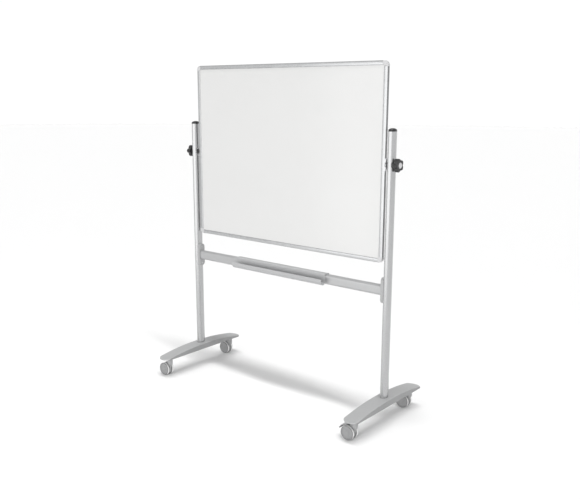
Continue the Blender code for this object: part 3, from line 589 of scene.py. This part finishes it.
def make_corners():
    """Rounded corner caps over the ends of the rails, with a slot for the panel."""
    board_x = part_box("frame_rail_right")[1].x
    board_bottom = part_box("frame_rail_bottom")[0].z
    top_low, top_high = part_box("frame_rail_top")
    face = top_high.z - top_low.z
    outline = arc((CORNER_RADIUS, CORNER_RADIUS), CORNER_RADIUS, 270, 180, 20)
    outline += [(0, CORNER_SIZE), (face, CORNER_SIZE)]
    outline += arc((CORNER_SIZE, CORNER_SIZE), CORNER_SIZE - face, 180, 270, 8)[1:-1]
    outline += [(CORNER_SIZE, face), (CORNER_SIZE, 0)]
    for word_z, side_z, edge_z in (("bottom", -1, board_bottom), ("top", 1, top_high.z)):
        for word_x, side_x in SIDES:
            node = f"corner_cap_{word_z}_{word_x}"
            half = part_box(node)[1].y
            loop = [(side_x * (board_x - a), edge_z - side_z * b) for a, b in outline]
            cap = rounded(prism(node, [loop], "Y", -half, half), CORNER_EDGE)
            xs = sorted(side_x * (board_x - a) for a in (RAIL_SLOT, 2 * CORNER_SIZE))
            zs = sorted(edge_z - side_z * b for b in (RAIL_SLOT, 2 * CORNER_SIZE))
            slot = block("slot", (xs[0], -SLOT_HALF, zs[0]), (xs[1], SLOT_HALF, zs[1]))
            remake(node, combined(cap, slot, "DIFFERENCE"), CORNER)


# ---------------------------------------------------------------- screws
DOME_STEPS = 8
DOME_SHARE = 0.75                 # of a screw head's height, the rest being its straight rim
RECESS_LENGTH = 0.62              # of the head's radius
RECESS_WIDTH = 0.13
RECESS_FLOOR = 0.45               # of the head's height


def screw_head(radius, height, place, axis):
    """A domed head with a cross recess, standing on a place."""
    dome = []
    for i in range(DOME_STEPS + 1):
        angle = i * math.pi / (2 * DOME_STEPS)
        dome.append((radius * math.sin(angle), height * (1 - DOME_SHARE + DOME_SHARE * math.cos(angle))))
    head = lathe("screw", dome + [(radius, 0.0), (0.0, 0.0)], steps=32)
    wide, narrow = radius * RECESS_LENGTH, radius * RECESS_WIDTH
    for half_x, half_y in ((wide, narrow), (narrow, wide)):
        blade = block("blade", (-half_x, -half_y, height * RECESS_FLOOR), (half_x, half_y, height * 2))
        head = combined(head, blade, "DIFFERENCE")
    head.transform(Matrix.Translation(place) @ AXES[axis])
    return cleaned(head)


# ---------------------------------------------------------------- pivots and clamp knobs
PLATE_CORNER = 0.005
PLATE_EDGE = 0.0006
PLATE_SCREW = (0.0036, 0.0020)    # radius and height of its head
PLATE_SCREW_DROP = 0.021
SPACER_SOFT = 0.0009
FLANGE_THICKNESS = 0.0022
FLANGE_SOFT = 0.0007
BUSH_RADIUS = 0.008
KNOB_LOBES = 5
KNOB_RADIUS = 0.031
KNOB_CORE = 0.016
KNOB_VALLEY = 0.38
KNOB_FULLNESS = 0.6               # below 1 makes the lobes broad and the valleys narrow
KNOB_EDGE = 0.0042
KNOB_DIP = ((0.004, 0.0003), (0.0, 0.0008), (-0.0006, 0.0))   # radius from the core's, depth
HUB_RADIUS = 0.014
HUB_LENGTH = 0.005
HUB_SOFT = 0.0008
HUB_FILLET = 0.001
DISC_RADIUS = 0.0135
DISC_RECESS = 0.0018
DISC_SOFT = 0.0006
DISC_SEAT = ((0.0008, 0.0), (0.0003, 0.0005))     # radius from the disc's, depth
DISC_FACE = ((0.0, 0.0009), (0.0018, 0.0003), (0.0024, 0.0), (0.0076, 0.0),
             (0.0079, 0.0004), (0.0104, 0.0004), (0.0107, 0.0))   # radius, depth: a dimple and a groove


def soft_ring(inner, outer, low, high, soft):
    """The closed profile of a washer whose outer edges are rounded."""
    return ([(inner, low), (inner, high)] + arc((outer - soft, high - soft), soft, 90, 0, 4)
            + arc((outer - soft, low + soft), soft, 0, -90, 4))


def make_pivot(word, side):
    """The screwed plate on the board's edge, the friction spacer and the bush in the post."""
    axis = outward(side)
    pivot_z = centre_of("pivot_stud_" + word).z
    centre = (0.0, 0.0, pivot_z)
    node = "pivot_plate_" + word
    low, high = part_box(node)
    outline = rounded_rectangle(high.y, (high.z - low.z) / 2, PLATE_CORNER, (0.0, pivot_z))
    hole = ellipse(STUD_HOLE, STUD_HOLE, (0.0, pivot_z), 48)
    plate = rounded(prism(node, [outline, hole], "X", low.x, high.x), PLATE_EDGE, 2)
    remake(node, plate, STEEL)
    outer = high.x if side > 0 else low.x
    heads = [screw_head(*PLATE_SCREW, (outer, 0.0, pivot_z + drop), axis)
             for drop in (-PLATE_SCREW_DROP, PLATE_SCREW_DROP)]
    piece("pivot_plate_screws_" + word, merged("screws", heads), STEEL, "board")

    node = "pivot_spacer_" + word
    near, far = span_of(node)
    profile = soft_ring(STUD_HOLE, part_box(node)[1].y, near, far, SPACER_SOFT)
    remake(node, lathe(node, profile, axis, centre, looped=True), BLACK)

    node = "pivot_bush_" + word
    near, far = span_of(node)
    flange = near + FLANGE_THICKNESS
    profile = soft_ring(STUD_HOLE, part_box(node)[1].y, near, flange, FLANGE_SOFT)
    profile[1:2] = [(STUD_HOLE, far), (BUSH_RADIUS, far), (BUSH_RADIUS, flange)]
    remake(node, lathe(node, profile, axis, centre, looped=True), STEEL)


def make_knob(word, side):
    """A five-lobed knob with soft edges, and the turned disc in its outer face."""
    axis = outward(side)
    centre = (0.0, 0.0, centre_of("pivot_stud_" + word).z)
    node = "knob_" + word
    start, end = span_of(node)
    shoulder = start + HUB_LENGTH
    first_lobe = math.pi if side > 0 else 0.0

    def star(radius, angle):
        if radius <= KNOB_CORE:
            return radius
        lobe = (0.5 + 0.5 * math.cos(KNOB_LOBES * (angle - first_lobe))) ** KNOB_FULLNESS
        return KNOB_CORE + (radius - KNOB_CORE) * (KNOB_VALLEY + (1 - KNOB_VALLEY) * lobe)

    profile = [(0.0, start), (HUB_RADIUS - HUB_SOFT, start), (HUB_RADIUS, start + HUB_SOFT)]
    profile += [(HUB_RADIUS, shoulder - HUB_FILLET), (HUB_RADIUS + HUB_FILLET, shoulder)]
    profile.append((KNOB_CORE, shoulder))
    profile += arc((KNOB_RADIUS - KNOB_EDGE, shoulder + KNOB_EDGE), KNOB_EDGE, -90, 0, 6)
    profile += [(KNOB_RADIUS, (shoulder + end) / 2)]
    profile += arc((KNOB_RADIUS - KNOB_EDGE, end - KNOB_EDGE), KNOB_EDGE, 0, 90, 6)
    profile += [(KNOB_CORE + out, end - depth) for out, depth in KNOB_DIP]
    profile += [(DISC_RADIUS + out, end - depth) for out, depth in DISC_SEAT]
    profile += [(DISC_RADIUS + FIT, end - DISC_RECESS), (0.0, end - DISC_RECESS)]
    remake(node, lathe(node, profile, axis, centre, steps=160, shape=star), BLACK)

    node = "knob_disc_" + word
    near, far = span_of(node)
    disc = [(radius, far - depth) for radius, depth in DISC_FACE]
    disc += [(DISC_RADIUS - DISC_SOFT, far), (DISC_RADIUS, far - DISC_SOFT)]
    disc += [(DISC_RADIUS, near), (0.0, near)]
    remake(node, lathe(node, disc, axis, centre, steps=96), STEEL)


# ---------------------------------------------------------------- posts, crossbar and pen tray
POST_WALL = 0.002
BUSH_HOLE = (0.0083, 0.03)        # radius, and how far its cut reaches each way
CAP_PLUG_INSET = 0.0025           # from the post's outline in to the cap's plug
CAP_SOFT = 0.0005
CAP_BAND = 0.0034                 # heights above the cap's rim: its band, the groove, the dome
CAP_GROOVE = 0.0038
CAP_DOME = 0.0042
BAR_CORNER = 0.013
BAR_WALL = 0.002
BRACKET_CORNER = 0.018
BRACKET_EDGE = 0.004
BRACKET_MOUTH = 0.002             # how far the socket's cut starts outside the bracket's face
BRACKET_SCREW = (0.0046, 0.0026)  # radius and height of its head
BRACKET_SCREW_DROP = 0.047        # from the bar's centre line up and down to the bracket's screws
BRACKET_WELL = (0.0056, 0.0012)   # radius and depth of the recess that a screw stands in
TRAY_WALL = 0.0018
TRAY_EDGE = 0.0004
TRAY_BEND = 0.005
TRAY_HOOK = 0.012                 # how far the tray hangs down behind the bar
TRAY_HEM = 0.0018
TRAY_LIP_RISE = 0.029             # from the tray's lowest point to the middle of its hem


def make_post(word):
    """The oval tube, and its domed cap with a moulded rim."""
    node = "post_" + word
    low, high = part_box(node)
    middle = centre_of(node)
    half_x, half_y = (high.x - low.x) / 2, high.y
    loops = [ellipse(half_x, half_y, middle.xy), ellipse(half_x - POST_WALL, half_y - POST_WALL, middle.xy)]
    mesh = prism(node, loops, "Z", low.z, high.z)
    radius, reach = BUSH_HOLE
    hole = lathe("hole", [(radius, -reach), (radius, reach)], "X",
                 (middle.x, 0.0, centre_of("pivot_stud_" + word).z), steps=48)
    remake(node, combined(mesh, hole, "DIFFERENCE"), POST_PAINT)

    node = "post_cap_" + word
    cap_low, cap_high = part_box(node)
    rim = high.z + FIT
    profile = [(0.0, cap_low.z), (half_x - CAP_PLUG_INSET, cap_low.z), (half_x - CAP_PLUG_INSET, rim)]
    profile += [(half_x - CAP_SOFT, rim), (half_x, rim + CAP_SOFT), (half_x, rim + CAP_BAND)]
    profile += [(half_x - CAP_SOFT, rim + CAP_GROOVE)]
    for degrees in range(0, 90, 9):
        angle = math.radians(degrees)
        rise = (cap_high.z - rim - CAP_DOME) * math.sin(angle)
        profile.append((half_x * math.cos(angle), rim + CAP_DOME + rise))
    profile.append((0.0, cap_high.z))
    mesh = lathe(node, profile, steps=96)
    mesh.transform(Matrix.Translation((middle.x, 0.0, 0.0)) @ Matrix.Diagonal((1, half_y / half_x, 1, 1)))
    remake(node, mesh, BLACK)


def bar_section(offset):
    """The crossbar's outline, made larger or smaller all round."""
    low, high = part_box("crossbar")
    half_z = (high.z - low.z) / 2
    return rounded_rectangle(high.y + offset, half_z + offset, BAR_CORNER + offset,
                             (0.0, centre_of("crossbar").z))


def make_bracket(word, side):
    """The casting that joins the crossbar to a post: a saddle, a socket and two screws."""
    node = "crossbar_bracket_" + word
    low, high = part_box(node)
    bar_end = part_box("crossbar")[1].x
    bar_z = centre_of("crossbar").z
    face = side * min(abs(low.x), abs(high.x))
    outline = rounded_rectangle(high.y, (high.z - low.z) / 2, BRACKET_CORNER, (0.0, bar_z))
    mesh = rounded(prism(node, [outline], "X", low.x, high.x), BRACKET_EDGE, segments=5, angle=60.0)
    post_low, post_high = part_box("post_" + word)
    saddle = ellipse((post_high.x - post_low.x) / 2 + FIT, post_high.y + FIT, centre_of("post_" + word).xy)
    tool = prism("saddle", [saddle], "Z", low.z - OVERCUT, high.z + OVERCUT)
    mesh = combined(mesh, tool, "DIFFERENCE")
    start, end = sorted((face - side * BRACKET_MOUTH, side * (bar_end + FIT)))
    mesh = combined(mesh, prism("socket", [bar_section(FIT)], "X", start, end), "DIFFERENCE")
    inward = outward(-side)
    radius, depth = BRACKET_WELL
    heads = []
    for drop in (-BRACKET_SCREW_DROP, BRACKET_SCREW_DROP):
        place = (face + side * depth, 0.0, bar_z + drop)
        well = lathe("well", [(radius, 0.0), (radius, OVERCUT)], inward, place, steps=40)
        mesh = combined(mesh, well, "DIFFERENCE")
        heads.append(screw_head(*BRACKET_SCREW, place, inward))
    remake(node, mesh, CASTING)
    piece("bracket_screws_" + word, merged("screws", heads), STEEL, "stand")


def make_crossbar():
    """The tube between the posts, and its two brackets."""
    low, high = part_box("crossbar")
    bar = prism("crossbar", [bar_section(0.0), bar_section(-BAR_WALL)], "X", low.x, high.x)
    remake("crossbar", bar, BAR_PAINT)
    for word, side in SIDES:
        make_bracket(word, side)


def make_tray():
    """A bent sheet: a hook over the bar, a back, a round trough and a hemmed lip."""
    low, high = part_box("pen_tray")
    half_wall = TRAY_WALL / 2
    back = high.y - half_wall
    front = low.y + half_wall
    top = high.z - half_wall
    radius = (-back - front) / 2
    lip_top = low.z + TRAY_LIP_RISE
    path = [(back, top - TRAY_HOOK)]
    path += arc((back - TRAY_BEND, top - TRAY_BEND), TRAY_BEND, 0, 90, 8)
    path += arc((-back + TRAY_BEND, top - TRAY_BEND), TRAY_BEND, 90, 180, 8)
    path += arc((-back - radius, low.z + half_wall + radius), radius, 0, -180, 32)
    path.append((front, lip_top))
    work = bmesh.new()
    start = [work.verts.new((low.x, y, z)) for y, z in path]
    edges = [work.edges.new(pair) for pair in zip(start, start[1:])]
    swept = bmesh.ops.extrude_edge_only(work, edges=edges)["geom"]
    moved = [item for item in swept if isinstance(item, bmesh.types.BMVert)]
    bmesh.ops.translate(work, verts=moved, vec=(high.x - low.x, 0, 0))
    sheet = bpy.data.meshes.new("pen_tray")
    work.to_mesh(sheet)
    work.free()
    obj = bpy.data.objects.new("sheet", sheet)
    wall = obj.modifiers.new("wall", "SOLIDIFY")
    wall.thickness = TRAY_WALL
    wall.offset = 0.0
    wall.use_even_offset = True
    tray = rounded(baked(obj), TRAY_EDGE, 2)
    hem = prism("hem", [ellipse(TRAY_HEM, TRAY_HEM, (low.y + TRAY_HEM, lip_top), 24)], "X", low.x, high.x)
    remake("pen_tray", combined(tray, hem, "UNION"), TRAY_METAL)


# ---------------------------------------------------------------- feet
FOOT_NOSE = 0.025
FOOT_END_TOP = 0.109
FOOT_WALL = 0.0035
FOOT_EDGE = 0.0030
FOOT_EDGE_SHARE = (0.8, 0.7)      # the rounded edge is at most this much of the width and the height
FOOT_TIP = 0.0006                 # half the foot's width at its very end
THINNEST = 0.0002                 # half the hollow's width and its height, where it has run out
ROOF_RAMP = 0.004                 # the hollow reaches its full height over this half width
ROOF_START = 0.01                 # the share of that height where the half width is THINNEST
ROOF_OVERLAP = 0.001              # how far a boss runs up into the foot's top wall
STEM_BOSS = 0.016
STEM_HOLE = 0.0053
BOLT_BOSS = 0.022
BOLT_WELL = 0.0075
BOLT_SEAT = 0.012                 # below the boss's upper end
STATIONS = 48                     # cross-sections from the middle of a foot to one end


def foot_stations(reach):
    """Places along the foot, close together near its two ends."""
    half = [reach * math.sin(math.pi / 2 * i / STATIONS) for i in range(STATIONS + 1)]
    return [-y for y in half[:0:-1]] + half


def foot_top(y, reach, crown):
    """The height of the arched foot's upper face."""
    return crown - (crown - FOOT_END_TOP) * (y / reach) ** 2


def foot_ring(middle, y, reach, half_width, bottom, crown):
    """One cross-section of the hollow foot, as a closed loop of points."""
    width = half_width
    if abs(y) > reach - FOOT_NOSE:
        nose_radius = (half_width ** 2 + FOOT_NOSE ** 2) / (2 * FOOT_NOSE)
        beyond = abs(y) - (reach - nose_radius)
        width = math.sqrt(max(nose_radius ** 2 - beyond ** 2, 0.0))
    width = max(width, FOOT_TIP)
    near_tip = max(0.0, abs(y) - (reach - FOOT_EDGE)) / FOOT_EDGE
    top = foot_top(y, reach, crown)
    top -= 0.5 * FOOT_EDGE * (1 - math.sqrt(max(0.0, 1 - near_tip ** 2)))
    of_width, of_height = FOOT_EDGE_SHARE
    edge = min(FOOT_EDGE, width * of_width, (top - bottom) * of_height)
    inner = max(width - FOOT_WALL, THINNEST)
    rise = min(1.0, (inner - THINNEST) / ROOF_RAMP + ROOF_START)
    roof = bottom + max(top - FOOT_WALL - bottom, THINNEST) * rise
    right = [(width, bottom)] + arc((width - edge, top - edge), edge, 0, 90, 6)
    left = [(-x, z) for x, z in right[::-1]]
    hollow = [(-inner, bottom), (-inner, roof), (inner, roof), (inner, bottom)]
    return [(middle.x + x, y, z) for x, z in right + left + hollow]


def make_foot(word):
    """The arched foot, hollow underneath, with a boss for each caster's stem and the post's bolt."""
    node = "foot_" + word
    low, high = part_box(node)
    middle = centre_of(node)
    rings = [foot_ring(middle, y, high.y, (high.x - low.x) / 2, low.z, high.z)
             for y in foot_stations(high.y)]
    shell = loft(node, rings)
    bosses = []
    for end, _ in ENDS:
        stem = centre_of(f"caster_{end}_{word}_stem")
        roof = foot_top(stem.y, high.y, high.z) - FOOT_WALL + ROOF_OVERLAP
        profile = [(STEM_HOLE, low.z), (STEM_HOLE, roof), (STEM_BOSS, roof), (STEM_BOSS, low.z)]
        bosses.append(lathe("boss", profile, centre=(stem.x, stem.y, 0.0), steps=48, looped=True))
    roof = high.z - FOOT_WALL + ROOF_OVERLAP
    profile = [(BOLT_WELL, low.z), (BOLT_WELL, roof - BOLT_SEAT), (STUD_HOLE, roof - BOLT_SEAT)]
    profile += [(STUD_HOLE, roof), (BOLT_BOSS, roof), (BOLT_BOSS, low.z)]
    bosses.append(lathe("boss", profile, centre=(middle.x, 0.0, 0.0), steps=48, looped=True))
    remake(node, merged(node, [shell] + bosses), FOOT_PAINT)


# ---------------------------------------------------------------- casters
WEB_RADIUS = 0.0315
WEB_GAP = 0.0006                  # between the web and each wheel
WEB_EDGE = 0.0012
WEB_INSET = 0.002                 # from the neck's side in to the web's front
WEB_TOP = 0.077
WEB_CORNER = 0.045                # height where the web's round back meets its front
NECK_BOTTOM = 0.065
NECK_SOFT = 0.0015
NECK_COLLAR = ((0.0022, 0.0), (0.0012, 0.0004), (0.0010, 0.0030), (0.0, 0.0042))  # inwards, downwards
BORE_BOTTOM = 0.0687
AXLE_HOLE = (0.0033, 0.02)        # radius, and how far its cut reaches each way
TYRE_DEPTH = 0.0045
TYRE_SOFT = 0.0018
TYRE_INSET = (0.0004, 0.0003)     # from the wheel's inner face, and from its outer face and tread
BAND_INSET = 0.0022               # from the wheel's outer face to the light band painted round its tread as a highlight
BAND_WIDTH = 0.0075
BAND_DEPTH = 0.0008
BAND_SOFT = 0.0003
WHEEL_BORE = 0.0033
WHEEL_BORE_END = 0.0118           # how deep the blind bore goes in from the wheel's inner face
WHEEL_DISH = 0.0030
WHEEL_RIM = ((0.0002, 0.0005), (0.0008, 0.0), (0.0022, 0.0))      # in from the tyre, below the face
WHEEL_STEP = ((0.0036, 0.0004), (0.0046, 0.0))                    # in from the tyre, above the dish
HUB_CAP = ((0.0125, -0.0004), (0.0115, -0.0002), (0.0110, 0.0010), (0.0100, 0.0014),
           (0.0, 0.0020))                                         # radius, above the dish
LEVER_HUB = 0.0034
LEVER_HUB_HALF = 0.0052
LEVER_PIVOT = (-0.0395, 0.0633)   # from the stem's axis, and height
LEVER_BASE = (-0.0375, 0.0745)
LEVER_TIP = (-0.0790, 0.0490)
LEVER_BOW = 0.007
LEVER_THICKNESS = 0.003
LEVER_EDGE = 0.0009
LEVER_STEPS = 24
LEVER_ROOT = (0.001, 0.012)       # the hub's top: below the pedal's base, and back from it
LEVER_RIB = ((-0.0415, 0.0725), (-0.0660, 0.0610), (-0.0655, 0.0585), (-0.0530, 0.0595),
             (-0.0425, 0.0640))
LEVER_RIB_HALF = 0.0045
LEVER_LIP = 0.0031                # radius of the roll under the pedal's tip
LEVER_LIP_EDGE = 0.0008
RIDGES = (14, 16, 18, 20)         # the steps along the pedal that carry a grip ridge
RIDGE_RADIUS = 0.0009
RIDGE_SHARE = 0.8                 # of the pedal's width
NOTCH_GAP = 0.0006                # between the lever's hub and the notch that it turns in
NOTCH_FRONT = 0.0045              # places from the lever's pivot
NOTCH_BACK = ((-0.010, -0.008), (-0.035, -0.030))
NOTCH_TOP = 0.090
NOTCH_HALF = 0.02


def make_notch(stem):
    """The tool that cuts the room for the brake lever into a caster's web."""
    x, z = stem.x + LEVER_PIVOT[0], LEVER_PIVOT[1]
    bottom = arc((x, z), LEVER_HUB + NOTCH_GAP, -30, -150, 12)
    outline = [(x + NOTCH_FRONT, NOTCH_TOP), (x + NOTCH_FRONT, bottom[0][1])] + bottom
    outline += [(x + dx, z + dz) for dx, dz in NOTCH_BACK]
    outline.append((x + NOTCH_BACK[-1][0], NOTCH_TOP))
    return prism("notch", [outline], "Y", stem.y - NOTCH_HALF, stem.y + NOTCH_HALF)


def make_hood(node, stem, axle, braked):
    """The rounded web between the wheels and the neck that turns on the stem."""
    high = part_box(node)[1]
    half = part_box(node.replace("_hood", "_wheel_back"))[0].y - stem.y - WEB_GAP
    neck = high.x - stem.x
    front = neck - WEB_INSET
    outline = arc((axle.x, axle.z), WEB_RADIUS, 95, 345, 40)
    outline += [(stem.x, WEB_CORNER), (stem.x + front, NECK_BOTTOM), (stem.x + front, WEB_TOP)]
    outline += [(stem.x - neck, WEB_TOP)]
    web = rounded(prism(node, [outline], "Y", stem.y - half, stem.y + half), WEB_EDGE, 3)
    profile = [(0.0, high.z)] + [(neck - inwards, high.z - down) for inwards, down in NECK_COLLAR]
    profile += [(neck, NECK_BOTTOM + NECK_SOFT), (neck - NECK_SOFT, NECK_BOTTOM), (0.0, NECK_BOTTOM)]
    below = (stem.x, stem.y, 0.0)
    hood = combined(web, lathe("neck", profile, centre=below, steps=64), "UNION")
    bore = lathe("bore", [(STEM_HOLE, BORE_BOTTOM), (STEM_HOLE, high.z + OVERCUT)], centre=below, steps=40)
    hood = combined(hood, bore, "DIFFERENCE")
    radius, reach = AXLE_HOLE
    hole = lathe("hole", [(radius, -reach), (radius, reach)], "Y", axle, steps=32)
    hood = combined(hood, hole, "DIFFERENCE")
    if braked:
        hood = combined(hood, make_notch(stem), "DIFFERENCE")
    remake(node, hood, CASTER_GREY)


def make_wheel(node, side, axle):
    """A tyre with a light band round it, painted as a highlight on its shoulder, and a dished centre with a
    hub cap.
    """
    low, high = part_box(node)
    radius = (high.z - low.z) / 2
    width = high.y - low.y
    axis = "Y" if side > 0 else "-Y"
    centre = (axle.x, low.y if side > 0 else high.y, axle.z)
    seat = radius - TYRE_DEPTH
    body = NODES[node]["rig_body"]
    inner_inset, outer_inset = TYRE_INSET
    tyre = soft_ring(seat, radius - outer_inset, inner_inset, width - outer_inset, TYRE_SOFT)
    mesh = lathe("tyre", tyre, axis, centre, steps=96, looped=True)
    piece(node + "_tyre", mesh, TYRE_GREY, body, [node])
    # the light band round the tread is a painted highlight on the tyre's shoulder
    end = width - BAND_INSET
    band = soft_ring(radius - BAND_DEPTH, radius, end - BAND_WIDTH, end, BAND_SOFT)
    mesh = lathe("band", band, axis, centre, steps=96, looped=True)
    piece(node + "_band", mesh, PAINTED_HIGHLIGHT_GREY, body, [node])
    dish = width - WHEEL_DISH
    rim = [(seat - inwards, width - down) for inwards, down in WHEEL_RIM]
    step = [(seat - inwards, dish + up) for inwards, up in WHEEL_STEP]
    cap = [(reach, dish + up) for reach, up in HUB_CAP]
    profile = [(WHEEL_BORE, 0.0), (rim[0][0], 0.0)] + rim + step + cap
    profile += [(0.0, WHEEL_BORE_END), (WHEEL_BORE, WHEEL_BORE_END)]
    mesh = lathe("centre", profile, axis, centre, steps=96, looped=True)
    piece(node + "_centre", mesh, WHEEL_GREY, body, [node])


def make_lever(node, stem):
    """The bowed brake pedal with grip ridges, on its hub in the web."""
    low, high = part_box(node)
    half = (high.y - low.y) / 2

    def across(name, outline, reach):
        return prism(name, [outline], "Y", stem.y - reach, stem.y + reach)

    (base_x, base_z), (tip_x, tip_z) = LEVER_BASE, LEVER_TIP
    length = math.hypot(tip_x - base_x, tip_z - base_z)
    down_x, down_z = -(tip_z - base_z) / length, (tip_x - base_x) / length
    upper = []
    lower = []
    for i in range(LEVER_STEPS + 1):
        t = i / LEVER_STEPS
        lift = LEVER_BOW * 4 * t * (1 - t)
        x = stem.x + base_x + (tip_x - base_x) * t - down_x * lift
        z = base_z + (tip_z - base_z) * t - down_z * lift
        upper.append((x, z))
        lower.append((x + down_x * LEVER_THICKNESS, z + down_z * LEVER_THICKNESS))
    pedal = rounded(across(node, upper + lower[::-1], half), LEVER_EDGE, 3)
    x, z = stem.x + LEVER_PIVOT[0], LEVER_PIVOT[1]
    drop, back = LEVER_ROOT
    hub = arc((x, z), LEVER_HUB, 180, 360, 20)
    hub += [(x + LEVER_HUB, base_z - drop), (stem.x + base_x - back, base_z - drop)]
    pedal = combined(pedal, across("hub", hub, LEVER_HUB_HALF), "UNION")
    rib = [(stem.x + u, v) for u, v in LEVER_RIB]
    pedal = combined(pedal, across("rib", rib, LEVER_RIB_HALF), "UNION")
    lip_x, lip_z = upper[-3]
    lip = ellipse(LEVER_LIP, LEVER_LIP, (lip_x + down_x * LEVER_LIP, lip_z + down_z * LEVER_LIP), 32)
    roll = rounded(across("roll", lip, half), LEVER_LIP_EDGE, 2, 60.0)
    pedal = combined(pedal, roll, "UNION")
    for step in RIDGES:
        ridge = across("ridge", ellipse(RIDGE_RADIUS, RIDGE_RADIUS, upper[step], 16), half * RIDGE_SHARE)
        pedal = combined(pedal, ridge, "UNION")
    remake(node, pedal, CASTER_GREY)


def make_caster(word_y, word_x):
    """One twin-wheel caster, with a brake lever where the frame has one."""
    name = f"caster_{word_y}_{word_x}"
    stem = centre_of(name + "_stem")
    axle = centre_of(name + "_axle")
    lever = name + "_brake_lever"
    make_hood(name + "_hood", stem, axle, lever in NODES)
    for word, side in ENDS:
        make_wheel(f"{name}_wheel_{word}", side, axle)
    if lever in NODES:
        make_lever(lever, stem)


# ---------------------------------------------------------------- the whole object
PLATED_STARTS = ("pivot_stud", "post_plug", "foot_bolt")    # nodes that keep their shape, in plated steel
PLATED_ENDS = ("stem", "axle")

make_camera()
make_world()
make_floor()
make_lights()
bpy.context.scene.view_settings.view_transform = "Standard"

dress("writing_surface_front", ENAMEL)
dress("writing_surface_back", ENAMEL)
dress("board_core", CORE)
make_rails()
make_corners()
for side_word, side_sign in SIDES:
    make_pivot(side_word, side_sign)
    make_knob(side_word, side_sign)
    make_post(side_word)
    make_foot(side_word)
    for end_word, _ in ENDS:
        make_caster(end_word, side_word)
make_crossbar()
make_tray()
for node_name in NODES:
    if node_name.startswith(PLATED_STARTS) or node_name.endswith(PLATED_ENDS):
        dress(node_name, STEEL)
